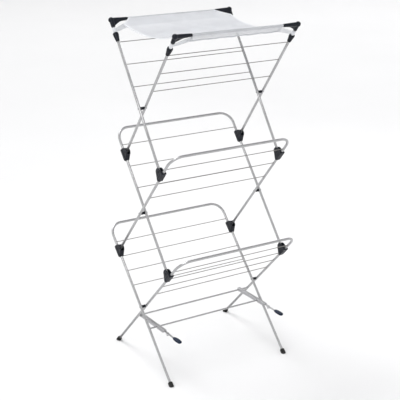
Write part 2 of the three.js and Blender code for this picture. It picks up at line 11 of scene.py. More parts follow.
import bmesh
import bpy
import numpy as np
from bpy.props import FloatProperty, FloatVectorProperty, IntProperty, PointerProperty
from bpy.types import Operator, Panel, PropertyGroup
from mathutils import Matrix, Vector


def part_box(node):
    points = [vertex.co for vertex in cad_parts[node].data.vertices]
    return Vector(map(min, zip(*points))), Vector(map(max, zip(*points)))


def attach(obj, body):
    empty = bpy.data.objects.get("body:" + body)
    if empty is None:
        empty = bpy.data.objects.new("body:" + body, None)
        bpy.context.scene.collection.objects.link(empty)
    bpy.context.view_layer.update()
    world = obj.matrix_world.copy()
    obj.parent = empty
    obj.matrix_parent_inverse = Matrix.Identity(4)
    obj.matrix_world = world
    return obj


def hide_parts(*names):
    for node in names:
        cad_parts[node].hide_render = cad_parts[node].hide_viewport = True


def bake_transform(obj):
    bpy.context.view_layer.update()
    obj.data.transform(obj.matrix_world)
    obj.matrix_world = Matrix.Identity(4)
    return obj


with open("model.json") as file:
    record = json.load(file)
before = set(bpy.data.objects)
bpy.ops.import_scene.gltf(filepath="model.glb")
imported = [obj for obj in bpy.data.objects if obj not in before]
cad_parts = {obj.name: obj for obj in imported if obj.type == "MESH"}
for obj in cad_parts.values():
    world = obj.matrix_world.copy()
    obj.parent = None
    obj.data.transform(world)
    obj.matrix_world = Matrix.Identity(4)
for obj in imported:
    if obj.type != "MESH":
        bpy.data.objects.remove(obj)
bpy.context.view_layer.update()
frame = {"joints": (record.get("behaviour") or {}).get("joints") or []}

bl_info = {
    "name": "Folding drying rack",
    "version": (1, 0, 0),
    "blender": (4, 5, 0),
    "location": "View3D > Sidebar > Drying rack",
    "description": "Builds the finished surfaces of a tiered folding clothes drying rack",
    "category": "Add Mesh",
}

SIDES = {"left": -1.0, "right": 1.0}
FRAMES = {
    "lower_back": 1.0,
    "lower_front": -1.0,
    "middle_back": 1.0,
    "middle_front": -1.0,
    "upper_back": 1.0,
    "upper_front": -1.0,
}


# ---------------------------------------------------------------- sizes read from the frame


def node_box(node):
    """The lowest and highest corner of a frame node as two arrays."""
    low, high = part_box(node)
    return np.array(low), np.array(high)


def joint_place(name):
    """Where a joint's axis passes, as an array."""
    return np.array(next(j["pos_m"] for j in frame["joints"] if j["name"] == name))


BAR_LOW, BAR_HIGH = node_box("upper_front_bar")
TUBE_RADIUS = float(BAR_HIGH[1] - BAR_LOW[1]) / 2
LOW_PIVOT = joint_place("lower_scissor")
HIGH_PIVOT = joint_place("upper_scissor")
LOW_PIN = joint_place("lower_back_clamp_hinge")
HIGH_PIN = joint_place("upper_back_clamp_hinge")
LOCK_PIVOT = joint_place("left_lock_pivot")
FRAME_LOW, FRAME_HIGH = node_box("upper_front_frame")
HALF_SPAN = float(FRAME_HIGH[0] - FRAME_LOW[0]) / 2 - TUBE_RADIUS
MIDDLE_HEIGHT = 2 * LOW_PIN[2] - LOW_PIVOT[2]
ARM = math.hypot(LOW_PIN[1], LOW_PIN[2] - LOW_PIVOT[2])
TOP_LEG = math.hypot(BAR_LOW[1] + TUBE_RADIUS, BAR_LOW[2] + TUBE_RADIUS - HIGH_PIVOT[2])


def length(name, description, default, **limits):
    """A length property in metres."""
    return FloatProperty(
        name=name,
        description=description,
        default=default,
        min=limits.get("low", 0.0),
        unit="LENGTH",
        subtype="DISTANCE",
        precision=4,
    )


def colour(name, description, default):
    """A colour property."""
    return FloatVectorProperty(
        name=name,
        description=description,
        default=default,
        size=3,
        min=0.0,
        max=1.0,
        subtype="COLOR",
    )


class RackSizes(PropertyGroup):
    """Sizes of the finished pieces."""

    tube_wall: length("Tube wall", "Wall thickness seen at the cut tube ends", 0.0011)
    wire_radius: length("Wire radius", "Radius of the cross wires", 0.0016)
    rod_radius: length("Lock rod radius", "Radius of the two rods the lock arms use", 0.0036)
    bend_radius: length("Bend radius", "Centreline radius of the bent loops", 0.055)
    clamp_offset: length("Clamp offset", "Loop tube centre to clamp pin", 0.020)
    middle_loop: length("Middle loop", "Pivot to the cross run of a middle loop", 0.391)
    lower_loop: length("Lower loop", "Pivot to the cross run of a lower loop", 0.398)
    leg_end: length("Leg end", "Tube past the clamp pin", 0.010)
    foot_leg: length("Foot leg", "Lower pivot to the tube end inside the foot", 0.358)
    foot_sleeve: length("Foot sleeve", "Floor to the foot's upper rim along the leg", 0.020)
    rod_drop: length("Rod drop", "Lower pivot to the lock rods along the legs", 0.102)
    top_wire: length("Top wire", "Pivot to the highest wire of a top frame", 0.295)
    middle_wire: length("Middle wire", "Pivot to the highest wire of a middle frame", 0.314)
    lower_back_wire: length("Back wire", "Pivot to the lower back frame's highest wire", 0.312)
    lower_front_wire: length("Front wire", "Pivot to the lower front frame's highest wire", 0.322)
    wire_pitch: length("Wire pitch", "Between wires of the top and middle frames", 0.100)
    lower_pitch: length("Lower pitch", "Between wires of the lower frames", 0.070)
    clamp_width: length("Clamp width", "Across both cheeks of a clamp", 0.0227)
    moulding_step: length("Moulding step", "Grid step of the moulded pieces", 0.0009, low=0.0003)
    mesh_sag: length("Mesh sag", "How far the mesh shelf hangs below the bars", 0.042)
    mesh_thickness: length("Mesh thickness", "Thickness of the mesh cloth", 0.0008)
    hem_depth: length("Hem depth", "Bar centre to the bottom of the hem", 0.034)
    mesh_half_width: length("Mesh half width", "Centre to the side edge of the shelf", 0.268)
    corner_cut: length("Corner cut", "How far in from the bars the corners are cut", 0.046)
    tube_sides: IntProperty(
        name="Tube sides", description="Points round a tube", default=28, min=8
    )


class RackColours(PropertyGroup):
    """Colours of the finishes."""

    paint: colour("Tube paint", "Silver-grey coating of the tubes", (0.46, 0.46, 0.466))
    # Painted shade: the tube coating at about half its brightness, so the thin wires read darker.
    shaded_wire_paint: colour("Wire paint", "The same coating on the thin wires", (0.235, 0.226, 0.217))
    steel: colour("Bare steel", "Pressed lock arms, rivets and pins", (0.42, 0.42, 0.43))
    dark_steel: colour("Blackened steel", "Clamp pins", (0.03, 0.031, 0.035))
    plastic: colour("Black plastic", "Caps, collars, clamps, bushes", (0.0050, 0.0068, 0.0120))
    rubber: colour("Foot rubber", "The four feet", (0.006, 0.006, 0.0075))
    grip: colour("Grip", "Navy soft grips of the lock arms", (0.008, 0.016, 0.036))
    mesh: colour("Mesh cloth", "White open mesh", (0.73, 0.745, 0.78))
    hem: colour("Hem cloth", "White woven edging", (0.72, 0.735, 0.765))


class RackStage(PropertyGroup):
    """Camera place, turn and lens."""

    camera_x: length("Camera X", "Camera place across", -2.401, low=-20.0)
    camera_y: length("Camera Y", "Camera place in depth", -3.664, low=-20.0)
    camera_z: length("Camera Z", "Camera height", 2.187)
    yaw: FloatProperty(
        name="Yaw",
        description="Camera turned to the right of the view along +Y",
        default=math.radians(33.13),
        subtype="ANGLE",
        unit="ROTATION",
    )
    pitch: FloatProperty(
        name="Pitch",
        description="Camera tipped down from level",
        default=math.radians(18.82),
        subtype="ANGLE",
        unit="ROTATION",
    )
    roll: FloatProperty(
        name="Roll",
        description="Camera turned about its own view line",
        default=math.radians(0.66),
        subtype="ANGLE",
        unit="ROTATION",
    )
    lens: FloatProperty(
        name="Lens", description="Focal length in millimetres", default=97.1, min=10.0
    )


# ---------------------------------------------------------------- where the frames stand


def unit(vector):
    """The vector at length one."""
    vector = np.asarray(vector, float)
    return vector / np.linalg.norm(vector)


def frame_axes(name, sizes):
    """A frame's origin on its pivot, and its inward and leg directions.

    The leg direction leans from the vertical by the tier's angle, to the back for a back frame.
    The inward direction is square to it and points at the space between the crossed frames.
    """
    tier = name.split("_")[0]
    lean = FRAMES[name]
    step = math.asin(sizes.clamp_offset / ARM)
    middle = math.atan2(LOW_PIN[1], LOW_PIN[2] - LOW_PIVOT[2])
    upper = math.atan2(HIGH_PIN[1], HIGH_PIN[2] - MIDDLE_HEIGHT)
    angle = {"lower": middle + step, "middle": middle, "upper": upper}[tier]
    height = {"lower": LOW_PIVOT[2], "middle": MIDDLE_HEIGHT, "upper": HIGH_PIVOT[2]}[tier]
    low, high = node_box(name + "_frame")
    origin = np.array([(low[0] + high[0]) / 2, 0.0, height])
    along = np.array([0.0, lean * math.sin(angle), math.cos(angle)])
    inward = np.array([0.0, -lean * math.cos(angle), math.sin(angle)])
    return origin, inward, along


def placed(points, axes):
    """Points given as across, inward and along a frame, moved to where the frame stands."""
    origin, inward, along = axes
    across = np.array([1.0, 0.0, 0.0])
    return (
        origin
        + points[..., 0:1] * across
        + points[..., 1:2] * inward
        + points[..., 2:3] * along
    )


def clamp_height(sizes):
    """Pivot to clamp pin, measured along the loop's leg."""
    return math.sqrt(ARM**2 - sizes.clamp_offset**2)


# ---------------------------------------------------------------- surfaces as arrays


def grid_quads(rows, columns, close_rows=False, close_columns=True):
    """Quads between neighbouring points of a grid, as rows of four indices."""
    row = np.arange(rows if close_rows else rows - 1)
    column = np.arange(columns if close_columns else columns - 1)
    row, column = (a.ravel() for a in np.meshgrid(row, column, indexing="ij"))
    next_row = (row + 1) % rows
    next_column = (column + 1) % columns
    return np.stack(
        [
            row * columns + column,
            row * columns + next_column,
            next_row * columns + next_column,
            next_row * columns + column,
        ],
        axis=-1,
    )


class Surface:
    """Collects grids of points with their quads, material numbers and cloth coordinates."""

    def __init__(self):
        self.points, self.quads, self.slots, self.cloth = [], [], [], []
        self.count = 0

    def add(self, points, quads, slot=0, cloth=None):
        """Adds points and quads; cloth holds one pair of coordinates for each quad corner."""
        flat = np.asarray(points, float).reshape(-1, 3)
        self.points.append(flat)
        self.quads.append(quads + self.count)
        self.slots.append(np.full(len(quads), slot))
        self.cloth.append(np.zeros((len(quads), 4, 2)) if cloth is None else cloth)
        self.count += len(flat)

    def add_rings(self, rings, slot=0):
        """Adds rings of points, each row of the grid one closed ring."""
        self.add(rings, grid_quads(rings.shape[0], rings.shape[1]), slot)

    def piece(self, name, materials, smooth_angle=50.0):
        """A Blender object from everything added, with doubled points merged."""
        points = np.concatenate(self.points)
        quads = np.concatenate(self.quads)
        slots = np.concatenate(self.slots)
        cloth = np.concatenate(self.cloth).reshape(-1, 2)
        keys = np.round(points / 2e-7).astype(np.int64)
        _, first, where = np.unique(keys, axis=0, return_index=True, return_inverse=True)
        where = where.reshape(-1)
        return self.merged_piece(
            name, points[first], where[quads], slots, cloth.reshape(-1, 4, 2), materials,
            smooth_angle,
        )

    @staticmethod
    def merged_piece(name, points, quads, slots, cloth, materials, smooth_angle):
        """Writes the mesh, every face turned outward.

        Corners that fell together at a pole are dropped from their face.
        """
        same = quads == np.roll(quads, 1, axis=1)
        keep = ~same
        sizes = keep.sum(axis=1)
        real = sizes >= 3
        opposite = (quads[:, 0] == quads[:, 2]) | (quads[:, 1] == quads[:, 3])
        real &= ~opposite
        keep &= real[:, None]
        sizes = sizes[real]
        mesh = bpy.data.meshes.new(name)
        mesh.vertices.add(len(points))
        mesh.vertices.foreach_set("co", points.astype(np.float32).ravel())
        mesh.loops.add(int(sizes.sum()))
        mesh.loops.foreach_set("vertex_index", quads[keep].astype(np.int32))
        mesh.polygons.add(len(sizes))
        starts = np.concatenate([[0], np.cumsum(sizes)[:-1]])
        mesh.polygons.foreach_set("loop_start", starts.astype(np.int32))
        mesh.polygons.foreach_set("material_index", slots[real].astype(np.int32))
        layer = mesh.uv_layers.new(name="cloth")
        layer.data.foreach_set("uv", cloth[keep].astype(np.float32).ravel())
        mesh.update(calc_edges=True)
        mesh.validate()
        shell = bmesh.new()
        shell.from_mesh(mesh)
        bmesh.ops.recalc_face_normals(shell, faces=shell.faces)
        shell.to_mesh(mesh)
        shell.free()
        for material in materials:
            mesh.materials.append(material)
        mesh.polygons.foreach_set("use_smooth", np.ones(len(mesh.polygons), bool))
        mesh.set_sharp_from_angle(angle=math.radians(smooth_angle))
        piece = bpy.data.objects.new(name, mesh)
        bpy.context.scene.collection.objects.link(piece)
        return piece


def rings_along(points, directions, radii, side_axis, sides):
    """A round section carried along a flat path.

    Each ring is its path point plus the radius times a circle turning from the path's own normal
    to the side axis, which stands square to the whole path.
    """
    points, directions = np.asarray(points, float), np.asarray(directions, float)
    normal = np.cross(side_axis, directions)
    normal /= np.linalg.norm(normal, axis=1, keepdims=True)
    turn = np.linspace(0, 2 * math.pi, sides, endpoint=False)
    circle = (
        np.cos(turn)[None, :, None] * normal[:, None, :]
        + np.sin(turn)[None, :, None] * np.asarray(side_axis)[None, None, :]
    )
    return points[:, None, :] + np.asarray(radii, float)[:, None, None] * circle


def open_tube(points, directions, radius, wall, side_axis, sides, depth=0.006):
    """Rings of a tube whose two cut ends show the wall and a short length of bore.

    The bore rings sit a little inside each end at the inner radius and close on the axis.
    """
    points, directions = np.asarray(points, float), np.asarray(directions, float)
    start = points[0] + depth * directions[0]
    finish = points[-1] - depth * directions[-1]
    edge = 0.0004
    first, last = points[0], points[-1]
    centres = np.concatenate(
        [
            [start, start, first, first, first + edge * directions[0]],
            points[1:-1],
            [last - edge * directions[-1], last, last, finish, finish],
        ]
    )
    headings = np.concatenate(
        [np.repeat(directions[:1], 5, 0), directions[1:-1], np.repeat(directions[-1:], 5, 0)]
    )
    inner = radius - wall
    radii = np.concatenate(
        [
            [0.0, inner, inner, radius - edge, radius],
            np.full(len(points) - 2, radius),
            [radius, radius - edge, inner, inner, 0.0],
        ]
    )
    return rings_along(centres, headings, radii, side_axis, sides)


def lathe(profile, sides):
    """A profile of radius and height turned about the third axis, one ring for each point."""
    profile = np.asarray(profile, float)
    turn = np.linspace(0, 2 * math.pi, sides, endpoint=False)
    return np.stack(
        [
            profile[:, 0:1] * np.cos(turn)[None, :],
            profile[:, 0:1] * np.sin(turn)[None, :],
            np.repeat(profile[:, 1:2], sides, 1),
        ],
        axis=-1,
    )


def rounded_profile(corners, radius, steps=4):
    """A profile with each inner corner replaced by a short curve.

    Each curve is the quadratic blend from a point before the corner, through it, to one after.
    """
    corners = np.asarray(corners, float)
    before = corners[1:-1] - corners[:-2]
    after = corners[2:] - corners[1:-1]
    before_length = np.linalg.norm(before, axis=1, keepdims=True)
    after_length = np.linalg.norm(after, axis=1, keepdims=True)
    reach_in = np.minimum(radius, before_length * 0.45)
    reach_out = np.minimum(radius, after_length * 0.45)
    start = corners[1:-1] - before / before_length * reach_in
    end = corners[1:-1] + after / after_length * reach_out
    share = np.linspace(0, 1, steps + 1)[None, :, None]
    middle = corners[1:-1][:, None, :]
    curve = (
        (1 - share) ** 2 * start[:, None, :]
        + 2 * share * (1 - share) * middle
        + share**2 * end[:, None, :]
    )
    return np.concatenate([corners[:1], curve.reshape(-1, 2), corners[-1:]])


# ---------------------------------------------------------------- moulded skins


def blend_union(first, second, radius):
    """The lesser of two fields, rounded where they meet by the given radius."""
    share = np.clip(0.5 + 0.5 * (second - first) / radius, 0.0, 1.0)
    return second * (1 - share) + first * share - radius * share * (1 - share)


def blend_cut(body, tool, radius):
    """The body field with the tool taken away, the rim rounded by the given radius."""
    return -blend_union(-body, tool, radius)


def rod_field(across, beside, along, start, end, start_radius, end_radius):
    """Distance to a tapered rod on the third axis with gently rounded flat ends."""
    share = np.clip((along - start) / (end - start), 0.0, 1.0)
    side = np.hypot(across, beside) - (start_radius + (end_radius - start_radius) * share)
    ends = np.maximum(start - along, along - end)
    return -blend_union(-side, -ends, 0.0018)


def plate_field(flat, across, half_thickness, edge):
    """A flat outline's distance made into a plate with its edges rounded."""
    return -blend_union(-flat, -(np.abs(across) - half_thickness), edge)


def round_outline_field(beside, along, circles):
    """Distance to the band stretched round three circles, each a centre and a radius.

    The inside is the greatest signed distance to the tangent lines of neighbouring circles,
    joined with the circles themselves.
    """
    field = np.full(beside.shape, 1e3)
    for index in range(len(circles)):
        (x0, y0, r0), (x1, y1, r1) = circles[index], circles[(index + 1) % len(circles)]
        span = math.hypot(x1 - x0, y1 - y0)
        share = ((beside - x0) * (x1 - x0) + (along - y0) * (y1 - y0)) / span**2
        share = np.clip(share, 0.0, 1.0)
        gap = np.hypot(beside - x0 - share * (x1 - x0), along - y0 - share * (y1 - y0))
        field = np.minimum(field, gap - (r0 + (r1 - r0) * share))
    corners = np.array([circle[:2] for circle in circles])
    ahead = np.roll(corners, -1, axis=0)
    edge = ahead - corners
    normal = np.stack([edge[:, 1], -edge[:, 0]], axis=1)
    normal /= np.linalg.norm(normal, axis=1, keepdims=True)
    inside = np.max(
        normal[:, 0, None] * (beside.ravel() - corners[:, 0, None])
        + normal[:, 1, None] * (along.ravel() - corners[:, 1, None]),
        axis=0,
    ).reshape(beside.shape)
    return np.minimum(field, inside)


def field_skin(field, low, high, step):
    """Points and quads of the surface where a field is zero.

    The box is cut into cubes. Each cube that the surface passes through gets one point, the mean
    of the places where its edges cross zero. Each crossed edge joins the four cubes round it.
    """
    axes = [np.arange(a, b + step, step) for a, b in zip(low, high)]
    place = np.stack(np.meshgrid(*axes, indexing="ij"), axis=-1)
    value = field(place[..., 0], place[..., 1], place[..., 2])
    inside = value < 0
    cells = tuple(n - 1 for n in value.shape)
    total = np.zeros(cells + (3,))
    count = np.zeros(cells, int)
    crossings = []
    for axis in range(3):
        here = [slice(None)] * 3
        ahead = [slice(None)] * 3
        here[axis], ahead[axis] = slice(0, -1), slice(1, None)
        here, ahead = tuple(here), tuple(ahead)
        crossed = inside[here] != inside[ahead]
        drop = np.where(crossed, value[here] - value[ahead], 1.0)
        share = np.where(crossed, value[here] / drop, 0.0)[..., None]
        spot = place[here] + share * (place[ahead] - place[here])
        spot = np.where(crossed[..., None], spot, 0.0)
        others = [a for a in range(3) if a != axis]
        for first in (0, 1):
            for second in (0, 1):
                window = [slice(None)] * 3
                window[others[0]] = slice(first, first + cells[others[0]])
                window[others[1]] = slice(second, second + cells[others[1]])
                window = tuple(window)
                total += spot[window]
                count += crossed[window]
        crossings.append((crossed, inside[here]))
    active = count > 0
    number = np.full(cells, -1)
    number[active] = np.arange(active.sum())
    points = total[active] / count[active][:, None]
    quads = []
    for axis, (crossed, leaving) in enumerate(crossings):
        second, third = (axis + 1) % 3, (axis + 2) % 3
        spots = np.argwhere(crossed)
        inner = (spots[:, second] > 0) & (spots[:, third] > 0)
        inner &= spots[:, second] < cells[second]
        inner &= spots[:, third] < cells[third]
        spots = spots[inner]
        corners = []
        for back_second, back_third in ((1, 1), (0, 1), (0, 0), (1, 0)):
            cell = spots.copy()
            cell[:, second] -= back_second
            cell[:, third] -= back_third
            corners.append(number[cell[:, 0], cell[:, 1], cell[:, 2]])
        faces = np.stack(corners, axis=1)
        outward = leaving[spots[:, 0], spots[:, 1], spots[:, 2]]
        quads.append(np.where(outward[:, None], faces, faces[:, ::-1]))
    return points, np.concatenate(quads)


# ---------------------------------------------------------------- node groups and finishes


def link(tree, source, target):
    """Joins two sockets."""
    tree.links.new(source, target)


def node(tree, kind, **settings):
    """A new shader node with the given settings."""
    made = tree.nodes.new(kind)
    for key, value in settings.items():
        setattr(made, key, value)
    return made


def maths(tree, operation, first, second=None, clamp=False):
    """A maths node whose inputs are sockets or numbers; gives its output socket."""
    made = node(tree, "ShaderNodeMath", operation=operation, use_clamp=clamp)
    for slot, value in enumerate((first, second)):
        if value is None:
            continue
        if isinstance(value, (int, float)):
            made.inputs[slot].default_value = value
        else:
            link(tree, value, made.inputs[slot])
    return made.outputs[0]


def noise(tree, vector, scale, detail=3.0, roughness=0.5):
    """A noise texture's value on the given coordinates."""
    made = node(tree, "ShaderNodeTexNoise")
    made.inputs["Scale"].default_value = scale
    made.inputs["Detail"].default_value = detail
    made.inputs["Roughness"].default_value = roughness
    link(tree, vector, made.inputs["Vector"])
    return made.outputs["Fac"]


def spread(tree, value, low, high, out_low=0.0, out_high=1.0):
    """A value stretched from one range to another, held at the ends."""
    made = node(tree, "ShaderNodeMapRange")
    made.inputs["From Min"].default_value = low
    made.inputs["From Max"].default_value = high
    made.inputs["To Min"].default_value = out_low
    made.inputs["To Max"].default_value = out_high
    link(tree, value, made.inputs["Value"])
    return made.outputs["Result"]


def new_group(name, inputs, outputs):
    """An empty node group with the named sockets, and its input and output nodes."""
    group = bpy.data.node_groups.new(name, "ShaderNodeTree")
    for label, kind, default in inputs:
        socket = group.interface.new_socket(name=label, in_out="INPUT", socket_type=kind)
        if default is not None:
            socket.default_value = default
    for label, kind in outputs:
        group.interface.new_socket(name=label, in_out="OUTPUT", socket_type=kind)
    return group, node(group, "NodeGroupInput"), node(group, "NodeGroupOutput")


def surface_grain_group():
    """Fine grain for coatings and mouldings: a height, a roughness mask and broad mottling."""
    group, ins, outs = new_group(
        "surface_grain",
        [
            ("Vector", "NodeSocketVector", None),
            ("Grain Scale", "NodeSocketFloat", 900.0),
            ("Mottle Scale", "NodeSocketFloat", 18.0),
        ],
        [
            ("Height", "NodeSocketFloat"),
            ("Grain", "NodeSocketFloat"),
            ("Mottle", "NodeSocketFloat"),
        ],
    )
    fine = node(group, "ShaderNodeTexNoise")
    fine.inputs["Detail"].default_value = 4.0
    link(group, ins.outputs["Vector"], fine.inputs["Vector"])
    link(group, ins.outputs["Grain Scale"], fine.inputs["Scale"])
    broad = node(group, "ShaderNodeTexNoise")
    broad.inputs["Detail"].default_value = 5.0
    link(group, ins.outputs["Vector"], broad.inputs["Vector"])
    link(group, ins.outputs["Mottle Scale"], broad.inputs["Scale"])
    link(group, fine.outputs["Fac"], outs.inputs["Height"])
    link(group, spread(group, fine.outputs["Fac"], 0.35, 0.65), outs.inputs["Grain"])
    link(group, spread(group, broad.outputs["Fac"], 0.3, 0.7), outs.inputs["Mottle"])
    return group


def wear_group():
    """Handling marks: long thin scuffs and small chips, as a mask from 0 to 1."""
    group, ins, outs = new_group(
        "handling_wear",
        [
            ("Vector", "NodeSocketVector", None),
            ("Scuff Scale", "NodeSocketFloat", 60.0),
            ("Amount", "NodeSocketFloat", 0.3),
        ],
        [("Mask", "NodeSocketFloat")],
    )
    stretch = node(group, "ShaderNodeMapping")
    stretch.inputs["Scale"].default_value = (0.15, 1.0, 1.0)
    link(group, ins.outputs["Vector"], stretch.inputs["Vector"])
    scuffs = node(group, "ShaderNodeTexNoise")
    scuffs.inputs["Detail"].default_value = 6.0
    link(group, stretch.outputs["Vector"], scuffs.inputs["Vector"])
    link(group, ins.outputs["Scuff Scale"], scuffs.inputs["Scale"])
    patches = noise(group, ins.outputs["Vector"], 9.0, 2.0)
    sharp = spread(group, scuffs.outputs["Fac"], 0.56, 0.68)
    where = spread(group, patches, 0.45, 0.62)
    mask = maths(group, "MULTIPLY", sharp, where)
    mask = maths(group, "MULTIPLY", mask, ins.outputs["Amount"], clamp=True)
    link(group, mask, outs.inputs["Mask"])
    return group


def net_group():
    """Open net: round holes on a staggered grid of cloth coordinates, with the thread's height."""
    group, ins, outs = new_group(
        "open_net",
        [("Vector", "NodeSocketVector", None), ("Hole Radius", "NodeSocketFloat", 0.25)],
        [("Thread", "NodeSocketFloat"), ("Height", "NodeSocketFloat")],
    )
    gaps = []
    for shift in (0.0, 0.5):
        moved = node(group, "ShaderNodeVectorMath", operation="ADD")
        moved.inputs[1].default_value = (shift, shift, 0.0)
        link(group, ins.outputs["Vector"], moved.inputs[0])
        part = node(group, "ShaderNodeVectorMath", operation="FRACTION")
        link(group, moved.outputs[0], part.inputs[0])
        centred = node(group, "ShaderNodeVectorMath", operation="SUBTRACT")
        centred.inputs[1].default_value = (0.5, 0.5, 0.0)
        link(group, part.outputs[0], centred.inputs[0])
        gap = node(group, "ShaderNodeVectorMath", operation="LENGTH")
        link(group, centred.outputs[0], gap.inputs[0])
        gaps.append(gap.outputs["Value"])
    nearest = maths(group, "MINIMUM", gaps[0], gaps[1])
    past = maths(group, "SUBTRACT", nearest, ins.outputs["Hole Radius"])
    thread = spread(group, past, -0.03, 0.03)
    link(group, thread, outs.inputs["Thread"])
    link(group, spread(group, past, 0.0, 0.15), outs.inputs["Height"])
    return group


def weave_group():
    """Plain weave on cloth coordinates: over and under threads, as a height and a shade."""
    group, ins, outs = new_group(
        "plain_weave",
        [("Vector", "NodeSocketVector", None)],
        [("Height", "NodeSocketFloat"), ("Shade", "NodeSocketFloat")],
    )
    split = node(group, "ShaderNodeSeparateXYZ")
    link(group, ins.outputs["Vector"], split.inputs[0])
    waves = []
    for axis in ("X", "Y"):
        turn = maths(group, "MULTIPLY", split.outputs[axis], 2 * math.pi)
        waves.append(maths(group, "SINE", turn))
    cross = maths(group, "MULTIPLY", waves[0], waves[1])
    link(group, spread(group, cross, -1.0, 1.0), outs.inputs["Height"])
    link(group, spread(group, cross, -1.0, 1.0, 0.88, 1.0), outs.inputs["Shade"])
    return group


def stitch_group():
    """Two rows of lockstitch along a band: short thread dashes near both long edges."""
    group, ins, outs = new_group(
        "lockstitch",
        [
            ("Vector", "NodeSocketVector", None),
            ("Pitch", "NodeSocketFloat", 180.0),
            ("Inset", "NodeSocketFloat", 0.1),
        ],
        [("Mask", "NodeSocketFloat")],
    )
    split = node(group, "ShaderNodeSeparateXYZ")
    link(group, ins.outputs["Vector"], split.inputs[0])
    far = maths(group, "SUBTRACT", 1.0, split.outputs["Y"])
    near = maths(group, "MINIMUM", split.outputs["Y"], far)
    away = maths(group, "ABSOLUTE", maths(group, "SUBTRACT", near, ins.outputs["Inset"]))
    line = spread(group, away, 0.012, 0.03, 1.0, 0.0)
    turn = maths(group, "FRACT", maths(group, "MULTIPLY", split.outputs["X"], ins.outputs["Pitch"]))
    dash = spread(group, maths(group, "ABSOLUTE", maths(group, "SUBTRACT", turn, 0.5)),
                  0.28, 0.36, 1.0, 0.0)
    link(group, maths(group, "MULTIPLY", line, dash), outs.inputs["Mask"])
    return group


def shared_group(name, maker):
    """The named node group, made the first time it is asked for."""
    return bpy.data.node_groups.get(name) or maker()


def place_group(tree, name, maker, vector, **values):
    """A group node placed in a material, its vector joined and its numbers set."""
    made = node(tree, "ShaderNodeGroup")
    made.node_tree = shared_group(name, maker)
    link(tree, vector, made.inputs["Vector"])
    for key, value in values.items():
        made.inputs[key.replace("_", " ").title()].default_value = value
    return made


def new_material(name):
    """An empty material with a Principled shader; gives the material, tree and shader."""
    material = bpy.data.materials.new(name)
    material.use_nodes = True
    tree = material.node_tree
    tree.nodes.clear()
    shader = node(tree, "ShaderNodeBsdfPrincipled")
    output = node(tree, "ShaderNodeOutputMaterial")
    link(tree, shader.outputs["BSDF"], output.inputs["Surface"])
    return material, tree, shader


def mixed_colour(tree, mask, first, second):
    """A colour between two, by a mask; each is a socket or a plain colour."""
    made = node(tree, "ShaderNodeMix", data_type="RGBA")
    link(tree, mask, made.inputs["Factor"])
    for socket, value in ((made.inputs[6], first), (made.inputs[7], second)):
        if isinstance(value, tuple):
            socket.default_value = (*value, 1.0)
        else:
            link(tree, value, socket)
    return made.outputs[2]


def shaded(rgb, factor):
    """A colour made lighter or darker."""
    return tuple(min(1.0, channel * factor) for channel in rgb)


def bump(tree, shader, height, strength, distance):
    """Feeds a height into the shader's normal."""
    made = node(tree, "ShaderNodeBump")
    made.inputs["Strength"].default_value = strength
    made.inputs["Distance"].default_value = distance
    link(tree, height, made.inputs["Height"])
    link(tree, made.outputs["Normal"], shader.inputs["Normal"])


def coated_metal(name, rgb, metallic, rough, grain_scale, wear):
    """Metallic coating: fine orange-peel, faint mottling and rubbed marks."""
    material, tree, shader = new_material(name)
    where = node(tree, "ShaderNodeTexCoord").outputs["Object"]
    grain = place_group(
        tree, "surface_grain", surface_grain_group, where, grain_scale=grain_scale,
        mottle_scale=14.0,
    )
    marks = place_group(
        tree, "handling_wear", wear_group, where, scuff_scale=120.0, amount=wear
    )
    base = mixed_colour(tree, grain.outputs["Mottle"], shaded(rgb, 0.93), shaded(rgb, 1.05))
    base = mixed_colour(tree, marks.outputs["Mask"], base, shaded(rgb, 0.72))
    link(tree, base, shader.inputs["Base Color"])
    shader.inputs["Metallic"].default_value = metallic
    even = spread(tree, grain.outputs["Grain"], 0.0, 1.0, rough * 0.88, rough * 1.1)
    link(tree, maths(tree, "ADD", even, maths(tree, "MULTIPLY", marks.outputs["Mask"], 0.18)),
         shader.inputs["Roughness"])
    bump(tree, shader, grain.outputs["Height"], 0.15, 0.00004)
    return material


def moulded_plastic(name, rgb, rough, grain_scale, depth, wear=0.35, coat=0.0):
    """Moulded plastic or rubber: spark-eroded grain, soft mottling and paler rubbed marks."""
    material, tree, shader = new_material(name)
    where = node(tree, "ShaderNodeTexCoord").outputs["Object"]
    grain = place_group(
        tree, "surface_grain", surface_grain_group, where, grain_scale=grain_scale,
        mottle_scale=45.0,
    )
    marks = place_group(
        tree, "handling_wear", wear_group, where, scuff_scale=240.0, amount=wear
    )
    base = mixed_colour(tree, grain.outputs["Mottle"], shaded(rgb, 0.8), shaded(rgb, 1.3))
    base = mixed_colour(tree, marks.outputs["Mask"], base, shaded(rgb, 3.2))
    link(tree, base, shader.inputs["Base Color"])
    even = spread(tree, grain.outputs["Grain"], 0.0, 1.0, rough * 0.85, rough * 1.12)
    link(tree, maths(tree, "ADD", even, maths(tree, "MULTIPLY", marks.outputs["Mask"], 0.15)),
         shader.inputs["Roughness"])
    shader.inputs["Coat Weight"].default_value = coat
    shader.inputs["Specular IOR Level"].default_value = 0.2
    bump(tree, shader, grain.outputs["Height"], 0.5, depth)
    return material


def cloth_coordinates(tree, scale):
    """The piece's own cloth coordinates, scaled."""
    where = node(tree, "ShaderNodeUVMap", uv_map="cloth").outputs["UV"]
    sized = node(tree, "ShaderNodeMapping")
    sized.inputs["Scale"].default_value = scale
    link(tree, where, sized.inputs["Vector"])
    return sized.outputs["Vector"]


